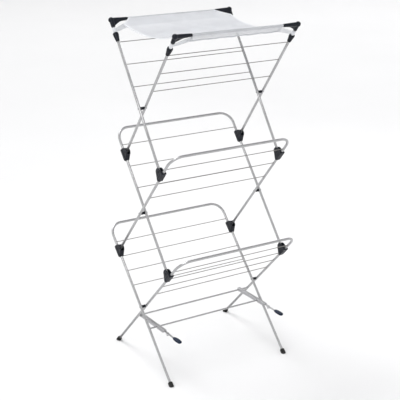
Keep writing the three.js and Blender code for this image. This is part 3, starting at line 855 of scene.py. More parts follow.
def net_cloth(name, rgb, pitch, hole):
    """Open white netting: holes let light through, threads stand up a little."""
    material, tree, shader = new_material(name)
    where = cloth_coordinates(tree, (1.0 / pitch, 1.0 / pitch, 1.0))
    net = place_group(tree, "open_net", net_group, where, hole_radius=hole)
    # Painted shade: broad noise darkens the net by up to six percent, standing in for the shade of soft
    # folds.
    painted_fold_shade = noise(tree, node(tree, "ShaderNodeTexCoord").outputs["Object"], 22.0, 3.0)
    base = mixed_colour(tree, spread(tree, painted_fold_shade, 0.35, 0.65), shaded(rgb, 0.94), rgb)
    link(tree, base, shader.inputs["Base Color"])
    shader.inputs["Roughness"].default_value = 0.85
    shader.inputs["Sheen Weight"].default_value = 0.25
    link(tree, net.outputs["Thread"], shader.inputs["Alpha"])
    bump(tree, shader, net.outputs["Height"], 0.6, 0.0004)
    return material


def hem_cloth(name, rgb, pitch):
    """Woven white edging with its thread pattern and two rows of stitching."""
    material, tree, shader = new_material(name)
    weave = place_group(
        tree, "plain_weave", weave_group, cloth_coordinates(tree, (1.0 / pitch, 1.0 / pitch, 1.0))
    )
    stitches = place_group(
        tree, "lockstitch", stitch_group, cloth_coordinates(tree, (1.0, 1.0 / 0.034, 1.0)),
        pitch=250.0, inset=0.12,
    )
    base = mixed_colour(tree, weave.outputs["Shade"], shaded(rgb, 0.8), rgb)
    base = mixed_colour(tree, stitches.outputs["Mask"], base, shaded(rgb, 0.78))
    link(tree, base, shader.inputs["Base Color"])
    shader.inputs["Roughness"].default_value = 0.82
    shader.inputs["Sheen Weight"].default_value = 0.2
    raised = maths(tree, "ADD", weave.outputs["Height"], stitches.outputs["Mask"])
    bump(tree, shader, raised, 0.5, 0.0003)
    return material


def finish(name, maker):
    """A finish by name, made once."""
    return bpy.data.materials.get(name) or maker()


def paint_finish():
    colours = bpy.context.scene.rack_colours
    return finish("tube_coating", lambda: coated_metal(
        "tube_coating", tuple(colours.paint), 0.8, 0.27, 1400.0, 0.35))


# Painted shade: the wires get a darker copy of the tube coating.
def shaded_wire_finish():
    colours = bpy.context.scene.rack_colours
    return finish("wire_coating", lambda: coated_metal(
        "wire_coating", tuple(colours.shaded_wire_paint), 0.6, 0.38, 2200.0, 0.25))


def steel_finish():
    colours = bpy.context.scene.rack_colours
    return finish("pressed_steel", lambda: coated_metal(
        "pressed_steel", tuple(colours.steel), 0.8, 0.34, 900.0, 0.6))


def dark_steel_finish():
    colours = bpy.context.scene.rack_colours
    return finish("blackened_steel", lambda: coated_metal(
        "blackened_steel", tuple(colours.dark_steel), 0.6, 0.5, 900.0, 0.6))


def plastic_finish():
    colours = bpy.context.scene.rack_colours
    return finish("black_moulding", lambda: moulded_plastic(
        "black_moulding", tuple(colours.plastic), 0.42, 1100.0, 0.00012, 0.3, 0.08))


def rubber_finish():
    colours = bpy.context.scene.rack_colours
    return finish("foot_rubber", lambda: moulded_plastic(
        "foot_rubber", tuple(colours.rubber), 0.7, 700.0, 0.0002, 0.6))


def grip_finish():
    colours = bpy.context.scene.rack_colours
    return finish("soft_grip", lambda: moulded_plastic(
        "soft_grip", tuple(colours.grip), 0.5, 1300.0, 0.00015, 0.3, 0.05))


def net_finish():
    colours = bpy.context.scene.rack_colours
    return finish("shelf_net", lambda: net_cloth(
        "shelf_net", tuple(colours.mesh), 0.0028, 0.22))


def coarse_net_finish():
    colours = bpy.context.scene.rack_colours
    return finish("edge_net", lambda: net_cloth(
        "edge_net", tuple(colours.hem), 0.0052, 0.27))


def hem_finish():
    colours = bpy.context.scene.rack_colours
    return finish("hem_weave", lambda: hem_cloth("hem_weave", tuple(colours.hem), 0.0011))


def settle(piece, body, material_slot, *replaced):
    """Makes a piece ride on its body and stand for its frame nodes; its material slot is not used."""
    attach(piece, body)
    if replaced:
        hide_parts(*replaced)
    return piece


# ---------------------------------------------------------------- tubes, wires and welds


def loop_path(half, radius, top, bottom, steps=16):
    """Points and directions of a leg, a quarter bend, a cross run, a bend and a leg.

    The left bend is its centre plus the radius times minus cosine and sine of a quarter turn;
    the right one mirrors it.
    """
    turn = np.linspace(0, math.pi / 2, steps)
    zero = np.zeros(steps)
    bend = np.stack(
        [-(half - radius) - radius * np.cos(turn), zero, top - radius + radius * np.sin(turn)], 1
    )
    heading = np.stack([np.sin(turn), zero, np.cos(turn)], 1)
    mirror = np.array([-1.0, 1.0, 1.0])
    points = np.concatenate(
        [[[-half, 0.0, bottom]], bend, (bend * mirror)[::-1], [[half, 0.0, bottom]]]
    )
    headings = np.concatenate(
        [[[0.0, 0.0, 1.0]], heading, (heading * [1.0, 1.0, -1.0])[::-1], [[0.0, 0.0, -1.0]]]
    )
    return points, headings


def add_wire(surface, height, radius, half, axes, slot):
    """A cross wire with a weld bead where each end meets the tube.

    The radius along the wire swells near both ends and closes on the axis inside the tubes.
    """
    reach = half - TUBE_RADIUS * 0.55
    places = -reach + np.array([0.0, 0.0, 0.0016, 0.0030, 0.0042, 0.0052])
    bead = radius + np.array([-radius, 0.0017, 0.0016, 0.0010, 0.0003, 0.0])
    across = np.concatenate([places, -places[::-1]])
    radii = np.concatenate([bead, bead[::-1]])
    points = np.stack([across, np.zeros_like(across), np.full_like(across, height)], 1)
    headings = np.tile([1.0, 0.0, 0.0], (len(points), 1))
    rings = rings_along(points, headings, radii, np.array([0.0, 1.0, 0.0]), 12)
    surface.add_rings(placed(rings, axes), slot)


def wire_heights(name, sizes):
    """Heights of a frame's wires above its pivot."""
    tier = name.split("_")[0]
    if tier == "lower":
        highest = sizes.lower_back_wire if name == "lower_back" else sizes.lower_front_wire
        return highest - sizes.lower_pitch * np.arange(4)
    highest = sizes.top_wire if tier == "upper" else sizes.middle_wire
    return highest - sizes.wire_pitch * np.arange(3)


def frame_piece(name, sizes):
    """One scissor frame: its tubes, cross wires and, low down, its lock rod."""
    axes = frame_axes(name, sizes)
    tier = name.split("_")[0]
    surface = Surface()
    side_axis = np.array([0.0, 1.0, 0.0])
    sides = sizes.tube_sides
    if tier == "upper":
        bottom = -ARM - sizes.leg_end
        top = TOP_LEG - 0.012
        for side in SIDES.values():
            points = np.array([[side * HALF_SPAN, 0.0, z] for z in (bottom, 0.0, top)])
            headings = np.tile([0.0, 0.0, 1.0], (3, 1))
            rings = open_tube(
                points, headings, TUBE_RADIUS, sizes.tube_wall, side_axis, sides
            )
            surface.add_rings(placed(rings, axes))
    else:
        lower = tier == "lower"
        top = sizes.lower_loop if lower else sizes.middle_loop
        bottom = -sizes.foot_leg if lower else -ARM - sizes.leg_end
        points, headings = loop_path(HALF_SPAN, sizes.bend_radius, top, bottom)
        rings = open_tube(points, headings, TUBE_RADIUS, sizes.tube_wall, side_axis, sides)
        surface.add_rings(placed(rings, axes))
    for height in wire_heights(name, sizes):
        add_wire(surface, height, sizes.wire_radius, HALF_SPAN, axes, 1)
    if tier == "lower":
        add_wire(surface, -sizes.rod_drop, sizes.rod_radius, HALF_SPAN, axes, 0)
    return surface.piece(name + "_tubes", [paint_finish(), shaded_wire_finish()])


def bar_piece(name, sizes):
    """The straight top bar of a top frame."""
    low, high = node_box(name + "_bar")
    middle = (low + high) / 2
    points = np.array([[x, middle[1], middle[2]] for x in (low[0], middle[0], high[0])])
    headings = np.tile([1.0, 0.0, 0.0], (3, 1))
    rings = open_tube(
        points, headings, TUBE_RADIUS, sizes.tube_wall, np.array([0.0, 1.0, 0.0]),
        sizes.tube_sides,
    )
    surface = Surface()
    surface.add_rings(rings)
    return surface.piece(name + "_top_bar", [paint_finish()])


class RACK_OT_frames(Operator):
    """Build the six scissor frames and the two top bars"""

    bl_idname = "rack.frames"
    bl_label = "Frames and top bars"

    def execute(self, context):
        sizes = context.scene.rack_sizes
        for name in FRAMES:
            settle(frame_piece(name, sizes), name, "painted_tube", name + "_frame")
        for name in ("upper_front", "upper_back"):
            settle(bar_piece(name, sizes), name, "painted_tube", name + "_bar")
        return {"FINISHED"}


# ---------------------------------------------------------------- moulded caps and collars


def cap_field(along_bar, beside, down_leg):
    """Corner elbow: a ball, a tapering bar sleeve, a leg sleeve and a thin web between them.

    The web fills the corner under the bar sleeve, its edge a falling power of the distance from
    the leg. A groove parts the ball from the bar sleeve, and a fine ring marks the mouth.
    """
    ball = np.sqrt((along_bar + 0.0006) ** 2 + beside**2 + down_leg**2) - 0.0114
    bar = rod_field(beside, down_leg, along_bar, 0.0, 0.075, 0.0091, 0.0068)
    leg = rod_field(along_bar, beside, -down_leg, 0.0, 0.032, 0.0090, 0.0082)
    reach, drop = 0.066, 0.032
    across_web = np.clip(along_bar / reach, 0.0, 1.0)
    edge = (-down_leg - drop * (1 - across_web) ** 1.35) * 0.8
    web = np.maximum(np.maximum(edge, -along_bar), np.maximum(down_leg, along_bar - reach))
    web = plate_field(web, beside, 0.0046, 0.002)
    ring = np.hypot(np.hypot(beside, down_leg) - 0.0112, along_bar - 0.0128) - 0.0024
    body = blend_union(blend_cut(bar, ring, 0.0016), leg, 0.004)
    body = blend_union(body, web, 0.004)
    body = blend_union(body, ball, 0.0014)
    mouth = np.hypot(np.hypot(beside, down_leg) - 0.0072, along_bar - 0.0705) - 0.0007
    return blend_cut(body, mouth, 0.0006)


def collar_profile():
    """Collar section: a bore, a flared upper rim and a body that narrows down the leg."""
    return rounded_profile(
        [
            (TUBE_RADIUS * 0.9, -0.036),
            (0.0072, -0.036),
            (0.0080, -0.0350),
            (0.0088, -0.0285),
            (0.0116, -0.0100),
            (0.0119, -0.0078),
            (0.0113, -0.0070),
            (0.0113, -0.0060),
            (0.0119, -0.0052),
            (0.0119, -0.0006),
            (0.0108, 0.0),
            (TUBE_RADIUS * 0.9, 0.0),
        ],
        0.0012,
    )


class RACK_OT_corner_caps(Operator):
    """Mould the four elbows that join the top bars to the legs"""

    bl_idname = "rack.corner_caps"
    bl_label = "Corner caps"

    def execute(self, context):
        sizes = context.scene.rack_sizes
        skin, quads = field_skin(
            cap_field, (-0.013, -0.0125, -0.035), (0.078, 0.0125, 0.0125), sizes.moulding_step
        )
        for face in ("front", "back"):
            axes = frame_axes("upper_" + face, sizes)
            for side_name, side in SIDES.items():
                local = skin * [-side, 1.0, 1.0] + [side * HALF_SPAN, 0.0, TOP_LEG]
                faces = quads[:, ::-1] if side > 0 else quads
                turned_over = FRAMES["upper_" + face] < 0
                surface = Surface()
                surface.add(placed(local, axes), faces[:, ::-1] if turned_over else faces)
                name = f"{face}_{side_name}_corner_cap"
                piece = surface.piece(name + "_moulding", [plastic_finish()], 60.0)
                settle(piece, "upper_" + face, "black_plastic", name)
        return {"FINISHED"}


class RACK_OT_collars(Operator):
    """Turn the four sleeves that sit on the legs under the shelf tabs"""

    bl_idname = "rack.collars"
    bl_label = "Leg collars"

    def execute(self, context):
        sizes = context.scene.rack_sizes
        for face in ("front", "back"):
            axes = frame_axes("upper_" + face, sizes)
            for side_name, side in SIDES.items():
                rings = lathe(collar_profile(), 40)
                rings = rings + [side * HALF_SPAN, 0.0, TOP_LEG - 0.060]
                surface = Surface()
                surface.add(placed(rings, axes), grid_quads(rings.shape[0], 40, close_rows=True))
                name = f"{face}_{side_name}_leg_collar"
                piece = surface.piece(name + "_moulding", [plastic_finish()])
                settle(piece, "upper_" + face, "black_plastic", name)
        return {"FINISHED"}


# ---------------------------------------------------------------- clamps, pins and bushes


def clamp_field(sizes):
    """Joint clamp: two cheeks and a sleeve round the loop tube, with a slot for the leg end.

    The cheek outline is a band stretched round three circles: the tip below, the pin lobe
    and the sleeve's top. A raised boss surrounds the pin and a shallow panel is sunk in it.
    """
    offset = sizes.clamp_offset
    half_width = sizes.clamp_width / 2
    circles = [(0.0, -0.0235, 0.0085), (offset, 0.0, 0.0168), (0.001, 0.0160, 0.0085)]

    def field(across, beside, along):
        outline = round_outline_field(beside, along, circles)
        body = plate_field(outline, across, half_width - 0.0016, 0.0020)
        sleeve = rod_field(across, beside, along, -0.0315, 0.0242, 0.0080, 0.0087)
        shell = np.maximum(np.abs(beside + 0.0003) - 0.0080, np.abs(along + 0.0015) - 0.0248)
        body = blend_union(body, plate_field(shell, across, half_width - 0.0002, 0.0018), 0.0006)
        body = blend_union(body, sleeve, 0.0015)
        slot = np.maximum(0.0072 - beside, -0.0142 - along)
        slot = np.maximum(slot, np.abs(across) - (TUBE_RADIUS + 0.0005))
        body = blend_cut(body, slot, 0.0008)
        ridge = np.maximum(np.abs(along + 0.0015) - 0.0168, np.abs(beside + 0.0003) - 0.0042)
        ridge = np.maximum(ridge, half_width - 0.0010 - np.abs(across))
        return blend_cut(body, ridge, 0.0010)

    return field


def domed_pin(grip, head_radius, head_height):
    """Profile of a pin with a domed head at both ends, closed on its axis."""
    turn = np.linspace(math.pi / 2, 0.0, 7)
    dome = np.stack(
        [head_radius * np.cos(turn), grip / 2 + head_height * np.sin(turn)], axis=1
    )
    rim = np.array([[head_radius, grip / 2], [0.0024, grip / 2]])
    top = np.concatenate([dome, rim])
    bottom = (top * [1.0, -1.0])[::-1]
    return np.concatenate([top, bottom])[::-1]


def bush_profile(half_length):
    """Section of a spacer bush: a bore and a waist between two rims."""
    return rounded_profile(
        [
            (0.0026, -half_length),
            (0.0061, -half_length),
            (0.0065, -half_length + 0.0008),
            (0.0065, -half_length + 0.0026),
            (0.0059, -half_length + 0.0036),
            (0.0059, half_length - 0.0036),
            (0.0065, half_length - 0.0026),
            (0.0065, half_length - 0.0008),
            (0.0061, half_length),
            (0.0026, half_length),
        ],
        0.0008,
    )


def across_lathe(profile, sides, centre, close=False):
    """A profile turned about the across axis and set on its centre."""
    rings = lathe(profile, sides)
    rings = np.stack([rings[..., 2], rings[..., 0], rings[..., 1]], axis=-1) + centre
    surface = Surface()
    surface.add(rings, grid_quads(rings.shape[0], sides, close_rows=close))
    return surface


class RACK_OT_clamps(Operator):
    """Mould the eight joint clamps and set their pins"""

    bl_idname = "rack.clamps"
    bl_label = "Joint clamps"

    def execute(self, context):
        sizes = context.scene.rack_sizes
        skin, quads = field_skin(
            clamp_field(sizes), (-0.0132, -0.011, -0.0345), (0.0132, 0.0395, 0.0275),
            sizes.moulding_step,
        )
        for tier, clamp_tier in (("lower", "lower"), ("middle", "upper")):
            for face in ("front", "back"):
                body = f"{tier}_{face}"
                axes = frame_axes(body, sizes)
                for side_name, side in SIDES.items():
                    place = [side * HALF_SPAN, 0.0, clamp_height(sizes)]
                    surface = Surface()
                    turned_over = FRAMES[body] < 0
                    surface.add(
                        placed(skin + place, axes), quads[:, ::-1] if turned_over else quads
                    )
                    name = f"{clamp_tier}_{face}_{side_name}_clamp"
                    piece = surface.piece(name + "_moulding", [plastic_finish()], 60.0)
                    settle(piece, body, "black_plastic", name)
                    self.add_pin(name + "_pin", body)
        return {"FINISHED"}

    @staticmethod
    def add_pin(name, body):
        low, high = node_box(name)
        grip = float(high[0] - low[0]) - 0.0024
        surface = across_lathe(domed_pin(grip, 0.0034, 0.0010), 28, (low + high) / 2)
        piece = surface.piece(name + "_steel", [dark_steel_finish()])
        settle(piece, body, "bright_steel", name)


class RACK_OT_pivots(Operator):
    """Set the spacer bushes and rivets of the three scissor pivots"""

    bl_idname = "rack.pivots"
    bl_label = "Scissor pivots"

    def execute(self, context):
        bodies = {"lower": "lower_back", "middle": "middle_back", "upper": "upper_front"}
        for tier, body in bodies.items():
            for side_name in SIDES:
                self.add_bush(f"{tier}_{side_name}_spacer", body)
                self.add_rivet(f"{tier}_{side_name}_rivet", body)
        return {"FINISHED"}

    @staticmethod
    def add_bush(name, body):
        low, high = node_box(name)
        profile = bush_profile(float(high[0] - low[0]) / 2)
        surface = across_lathe(profile, 32, (low + high) / 2, close=True)
        settle(surface.piece(name + "_moulding", [plastic_finish()]), body, "black_plastic", name)

    @staticmethod
    def add_rivet(name, body):
        low, high = node_box(name)
        grip = float(high[0] - low[0]) - 0.0036
        surface = across_lathe(domed_pin(grip, 0.0044, 0.0018), 28, (low + high) / 2)
        settle(surface.piece(name + "_steel", [steel_finish()]), body, "bright_steel", name)


# ---------------------------------------------------------------- feet


FOOT_BALL = 0.014  # radius that rounds off the rim and the toe
FOOT_BALL_HEIGHT = 0.008  # floor to the ball's middle along the leg
FOOT_RADIUS = 0.0101
FOOT_RIM_ROUND = 0.0008
FOOT_RIM_INSET = 0.0007
FOOT_GROOVE_DROP = 0.0052  # rim to the groove
FOOT_GROOVE_DEPTH = 0.0006
FOOT_GROOVE_WIDTH = 0.0007
FOOT_RINGS = 44
FOOT_SIDES = 40


class RACK_OT_feet(Operator):
    """Turn the four rubber feet and cut them level with the floor"""

    bl_idname = "rack.feet"
    bl_label = "Feet"

    def execute(self, context):
        sizes = context.scene.rack_sizes
        for face, body in (("front", "lower_back"), ("back", "lower_front")):
            axes = frame_axes(body, sizes)
            for side_name, side in SIDES.items():
                name = f"{face}_{side_name}_foot"
                piece = self.foot(name, side, axes, sizes)
                settle(piece, body, "foot_rubber", name)
        return {"FINISHED"}

    @staticmethod
    def foot(name, side, axes, sizes):
        """A barrel turned about the leg; what reaches below the floor slides up the leg to it.

        The radius is the lesser of a ball's and a cylinder's, with a fine groove under the rim.
        """
        pivot_height = axes[0][2]
        along = axes[2]
        floor = -pivot_height / along[2]
        rim = floor + sizes.foot_sleeve
        middle = floor + FOOT_BALL_HEIGHT
        top = math.asin((rim - middle - FOOT_RIM_ROUND) / FOOT_BALL)
        swing = np.linspace(top, -math.pi / 2, FOOT_RINGS)
        height = middle + FOOT_BALL * np.sin(swing)
        radius = np.minimum(FOOT_BALL * np.cos(swing), FOOT_RADIUS)
        groove = np.exp(-(((height - rim + FOOT_GROOVE_DROP) / FOOT_GROOVE_WIDTH) ** 2))
        radius = radius - FOOT_GROOVE_DEPTH * groove
        lip = [(TUBE_RADIUS * 0.9, rim), (radius[0] - FOOT_RIM_INSET, rim)]
        heights = np.concatenate([lip, np.stack([radius, height], 1)])
        heights[-1, 0] = 0.0
        rings = lathe(heights, FOOT_SIDES) + [side * HALF_SPAN, 0.0, 0.0]
        points = placed(rings, axes)
        points = points + np.maximum(-points[..., 2:3], 0.0) / along[2] * along
        surface = Surface()
        quads = grid_quads(points.shape[0], FOOT_SIDES)
        surface.add(points, quads[:, ::-1])
        lid = lathe([(0.0, rim), (TUBE_RADIUS * 0.9, rim)], FOOT_SIDES)
        lid = placed(lid + [side * HALF_SPAN, 0.0, 0.0], axes)
        surface.add(lid, grid_quads(2, FOOT_SIDES)[:, ::-1])
        return surface.piece(name + "_rubber", [rubber_finish()])


# ---------------------------------------------------------------- lock arms and grips


def channel_section(half, height, wall, bend, steps=5):
    """Outer and inner outline of an upside-down channel, from one lower edge to the other.

    Both outlines are a side, a quarter bend, the web, a bend and a side.
    """
    turn = np.linspace(0, math.pi / 2, steps)
    arc = np.stack([np.cos(turn), np.sin(turn)], 1)
    outer = np.concatenate([[[half, 0.0]], [half - bend, height - bend] + bend * arc])
    inner_bend = bend - wall
    inner = np.concatenate(
        [[[half - wall, 0.0]], [half - bend, height - bend] + inner_bend * arc]
    )
    mirror = np.array([-1.0, 1.0])
    outer = np.concatenate([outer, (outer * mirror)[::-1]])
    inner = np.concatenate([inner, (inner * mirror)[::-1]])
    return np.concatenate([outer, inner[::-1]])


def lower_edge(distance, reach, rod_gap, full_length):
    """Height of the channel's open edge along the arm, from 0 at the bottom.

    It rises over the seat on the lower rod with a sloped lead-in, and is trimmed at both ends.
    """
    seat_left = np.clip((distance - (reach - rod_gap)) / 0.0006, 0, 1)
    seat_right = np.clip((reach + rod_gap - distance) / 0.0006, 0, 1)
    seat = 0.0103 * np.minimum(seat_left, seat_right)
    ramp = np.where(
        distance < reach, np.clip(1 - (reach - rod_gap - distance) / 0.013, 0, 1) * 0.0102, 0.0
    )
    ramp = np.where(distance < reach - rod_gap, ramp, 0.0)
    nose = np.clip((distance - (full_length - 0.010)) / 0.010, 0, 1) * 0.0042
    heel = np.clip((-distance - 0.003) / 0.006, 0, 1) ** 2 * 0.006
    return np.maximum.reduce([seat, ramp, nose, heel])


class RACK_OT_lock_arms(Operator):
    """Press the two lock arms: channel, rod seat, tongue and lip"""

    bl_idname = "rack.lock_arms"
    bl_label = "Lock arms"

    def execute(self, context):
        sizes = context.scene.rack_sizes
        for side_name in SIDES:
            name = f"{side_name}_lock_arm"
            piece = self.arm(name, sizes)
            settle(piece, name, "bright_steel", name)
        return {"FINISHED"}

    @staticmethod
    def arm(name, sizes):
        low, high = node_box(name)
        centre = (low[0] + high[0]) / 2
        half = float(high[0] - low[0]) / 2
        pivot_y, pivot_z = LOCK_PIVOT[1], LOCK_PIVOT[2]
        tail = float(high[1]) - pivot_y
        top = float(high[2])
        height, full = 0.014, 0.200
        bottom = top - height
        reach = 2 * pivot_y
        section = channel_section(half, height, 0.0016, 0.0032)
        near_rod = reach + np.linspace(-0.018, 0.006, 49)
        distance = np.concatenate(
            [np.linspace(-tail, 0.004, 14), [0.03, 0.07], near_rod, [0.16],
             np.linspace(full - 0.011, full, 8)]
        )
        edge = lower_edge(distance, reach, sizes.rod_radius + 0.0006, full)
        share = section[None, :, 1] / height
        heights = edge[:, None] * (1 - share) + section[None, :, 1]
        taper = 1 - 0.22 * np.clip((distance - (full - 0.014)) / 0.014, 0, 1)[:, None] ** 2
        rows = np.stack(
            [
                centre + section[None, :, 0] * taper,
                pivot_y - np.repeat(distance[:, None], len(section), 1),
                bottom + heights,
            ],
            axis=-1,
        )
        surface = Surface()
        columns = len(section)
        surface.add(rows, grid_quads(len(distance), columns)[:, ::-1])
        for row, flip in ((rows[0], False), (rows[-1], True)):
            half_count = columns // 2
            strip = np.stack([row[:half_count], row[half_count:][::-1]])
            quads = grid_quads(2, half_count, close_columns=False)
            surface.add(strip, quads if flip else quads[:, ::-1])
        RACK_OT_lock_arms.add_tongue(surface, centre, pivot_y - full, bottom + 0.007)
        RACK_OT_lock_arms.add_nose(surface, centre, half, pivot_y - full, top, bottom)
        RACK_OT_lock_arms.add_pivot_ends(surface, centre, half, pivot_y, pivot_z)
        return surface.piece(name + "_pressing", [steel_finish()], 40.0)

    @staticmethod
    def add_strip(surface, centre, line, half_width, thickness):
        """A flat strip with rounded edges bent along a line of distance and height points."""
        line = np.asarray(line, float)
        heading = np.gradient(line, axis=0)
        heading /= np.linalg.norm(heading, axis=1, keepdims=True)
        ends = np.concatenate([[0], np.arange(len(line)), [len(line) - 1]])
        half_width = np.broadcast_to(half_width, (len(line),))[ends]
        line, heading = line[ends], heading[ends]
        normal = np.stack([-heading[:, 1], heading[:, 0]], 1)
        turn = np.linspace(0, 2 * math.pi, 20, endpoint=False)
        squarish = np.abs(np.cos(turn)) ** 0.3 * np.sign(np.cos(turn))
        edge = np.abs(np.sin(turn)) ** 0.6 * np.sign(np.sin(turn))
        scale = np.ones(len(line))
        scale[[0, -1]] = 0.0
        rings = np.stack(
            [
                centre + scale[:, None] * half_width[:, None] * squarish[None, :],
                line[:, 0:1] + scale[:, None] * thickness / 2 * edge[None, :] * normal[:, 0:1],
                line[:, 1:2] + scale[:, None] * thickness / 2 * edge[None, :] * normal[:, 1:2],
            ],
            axis=-1,
        )
        surface.add_rings(rings)

    @staticmethod
    def add_tongue(surface, centre, start_y, top):
        """The narrow tongue from the channel to inside the grip, with a small joggle."""
        reach = np.linspace(-0.012, 0.095, 32)
        joggle = 0.0022 * np.clip((reach - 0.016) / 0.008, 0, 1)
        line = np.stack([start_y - reach, top - 0.00125 - joggle + 0.0016], 1)
        width = np.interp(reach, [0.0, 0.012, 0.026, 0.040, 0.070], [0.0062, 0.0058, 0.0060, 0.0052, 0.0044])
        RACK_OT_lock_arms.add_strip(surface, centre, line, width, 0.0025)

    @staticmethod
    def add_nose(surface, centre, half, start_y, top, bottom):
        """The web turned down over the channel's end, and the lip hanging from the tongue."""
        turn = np.linspace(0, math.pi / 2, 6)
        bend = np.stack(
            [start_y + 0.0035 - 0.0035 * np.sin(turn), top - 0.0042 + 0.0034 * np.cos(turn)], 1
        )
        run = np.array([[start_y + 0.008, top - 0.0008]])
        drop = np.array([[start_y, bottom + 0.0052]])
        line = np.concatenate([run, bend, drop])
        RACK_OT_lock_arms.add_strip(surface, centre, line, half * 0.72, 0.0016)
        lip_y = start_y - 0.0230
        lip = np.array(
            [
                [lip_y + 0.0070, bottom + 0.0066],
                [lip_y + 0.0040, bottom + 0.0064],
                [lip_y + 0.0010, bottom + 0.0050],
                [lip_y, bottom + 0.0030],
                [lip_y, bottom - 0.0018],
            ]
        )
        RACK_OT_lock_arms.add_strip(surface, centre, lip, half * 0.85, 0.0050)

    @staticmethod
    def add_pivot_ends(surface, centre, half, pivot_y, pivot_z):
        """Peened collars where the rod passes through the channel's two sides."""
        profile = [(0.0, 0.0), (0.0056, 0.0), (0.0058, 0.0004), (0.0054, 0.0010), (0.0, 0.0013)]
        rings = lathe(profile, 24)
        for side in (-1.0, 1.0):
            spun = np.stack(
                [
                    centre + side * (half - 0.0002 + rings[..., 2]),
                    pivot_y + rings[..., 0],
                    pivot_z + side * rings[..., 1],
                ],
                axis=-1,
            )
            surface.add(spun, grid_quads(spun.shape[0], 24))


class RACK_OT_lock_grips(Operator):
    """Mould the soft grips over the lock arms' tongues"""

    bl_idname = "rack.lock_grips"
    bl_label = "Lock grips"

    def execute(self, context):
        for side_name in SIDES:
            name = f"{side_name}_lock_grip"
            piece = self.grip(name)
            settle(piece, f"{side_name}_lock_arm", "grip_plastic", name)
        return {"FINISHED"}

    @staticmethod
    def grip(name):
        """An oval bulb: the half width follows the root of a sine, with a waist and finger ribs.

        Each section is a rounded oval, flatter than it is wide, and the middle carries
        shallow ribs. The neck end keeps a short collar round the tongue.
        """
        low, high = node_box(name)
        middle = (low + high) / 2
        reach = float(high[1] - low[1])
        half_width = float(high[0] - low[0]) / 2
        half_height = float(high[2] - low[2]) / 2
        share = np.concatenate([[0.0], np.linspace(0.0, 1.0, 73)])
        bulge = np.sqrt(np.clip(np.sin(math.pi * (0.08 + 0.80 * share)), 0, 1))
        size = 0.36 + 0.64 * bulge
        size = np.where(share > 0.86, size * np.sqrt(np.clip(1 - ((share - 0.86) / 0.14) ** 2, 0, 1)),
                        size)
        ribs = 1 - 0.035 * np.clip(np.sin(share * 2 * math.pi * 9), 0, 1) * (
            (share > 0.28) & (share < 0.80)
        )
        size = size * ribs
        size[0] = 0.0
        turn = np.linspace(0, 2 * math.pi, 40, endpoint=False)
        wide = np.abs(np.cos(turn)) ** 0.85 * np.sign(np.cos(turn))
        tall = np.abs(np.sin(turn)) ** 0.85 * np.sign(np.sin(turn))
        rings = np.stack(
            [
                middle[0] + half_width * size[:, None] * wide[None, :],
                np.repeat(high[1] - reach * share[:, None], len(wide), 1),
                middle[2] + half_height * size[:, None] * tall[None, :],
            ],
            axis=-1,
        )
        surface = Surface()
        surface.add(rings, grid_quads(rings.shape[0], 40))
        return surface.piece(name + "_moulding", [grip_finish()])


# ---------------------------------------------------------------- mesh shelf


def shelf_half_width(depth, reach, sizes, corner_half):
    """Half the shelf's width at a distance from its middle towards a bar.

    The side edges bow in slightly between the corners, and the corners are cut off straight.
    """
    share = depth / reach
    edge = sizes.mesh_half_width - 0.010 * (1 - share**2)
    cut = np.clip((np.abs(depth) - (reach - sizes.corner_cut)) / sizes.corner_cut, 0, 1)
    return edge * (1 - cut) + corner_half * cut


def shelf_height(across, depth, reach, bar_height, sizes):
    """Height of the cloth: a parabola sagging between the bars, a little deeper at the sides,
    with shallow tension ripples running in from the corners."""
    share = depth / reach
    sag = sizes.mesh_sag * (1 - share**2) * (0.90 + 0.10 * (across / 0.27) ** 2)
    ripple = 0.0011 * np.sin(across * 58 + depth * 21) * np.abs(share) ** 3 * (1 - share**2) * 2.5
    ripple += 0.0006 * np.sin(across * 33 - depth * 47 + 1.3) * (1 - share**2)
    return bar_height - sag + ripple


def shelf_sheet(sizes):
    """The net itself: a two-sided sheet over a grid across and in depth.

    Points run between the cut edges at each depth. The last columns are the bound edge,
    which is thicker. Cloth coordinates are the distances across and along the cloth.
    """
    low, high = node_box("upper_back_bar")
    bar_y = float(low[1] + high[1]) / 2
    bar_z = float(low[2] + high[2]) / 2
    stagger = float(low[0] + high[0]) / 2
    reach = bar_y - TUBE_RADIUS - 0.0004
    corner_half = sleeve_half()
    depth = reach * np.sin(np.linspace(-math.pi / 2, math.pi / 2, 81))
    rim = np.array([1.0, 0.985, 0.97, 0.964])
    inner = np.linspace(-0.95, 0.95, 87)
    spread_out = np.concatenate([-rim, inner, rim[::-1]])
    half = shelf_half_width(depth, reach, sizes, corner_half)
    across = spread_out[None, :] * half[:, None] + stagger * depth[:, None] / reach
    height = shelf_height(across, depth[:, None], reach, bar_z + 0.0030, sizes)
    thick = np.where(np.abs(spread_out) > 0.965, 0.0017, sizes.mesh_thickness)[None, :]
    depth_grid = np.repeat(depth[:, None], len(spread_out), 1)
    top = np.stack([across, depth_grid, height + thick / 2], -1)
    bottom = np.stack([across, depth_grid, height - thick / 2], -1)
    run = np.concatenate([[0], np.cumsum(np.hypot(np.diff(depth), np.diff(height[:, 45])))])
    cloth = np.stack([across, np.repeat(run[:, None], len(spread_out), 1)], -1)
    return top, bottom, cloth, run[-1], half


def grid_cloth(cloth, quads):
    """Cloth coordinates for each corner of each quad."""
    return cloth.reshape(-1, 2)[quads]


def sleeve_half():
    """Half the length of the sleeve round a bar, clear of the corner caps."""
    high = node_box("front_left_corner_cap")[1]
    middle = float(BAR_LOW[0] + BAR_HIGH[0]) / 2
    return middle - float(high[0]) - 0.0025


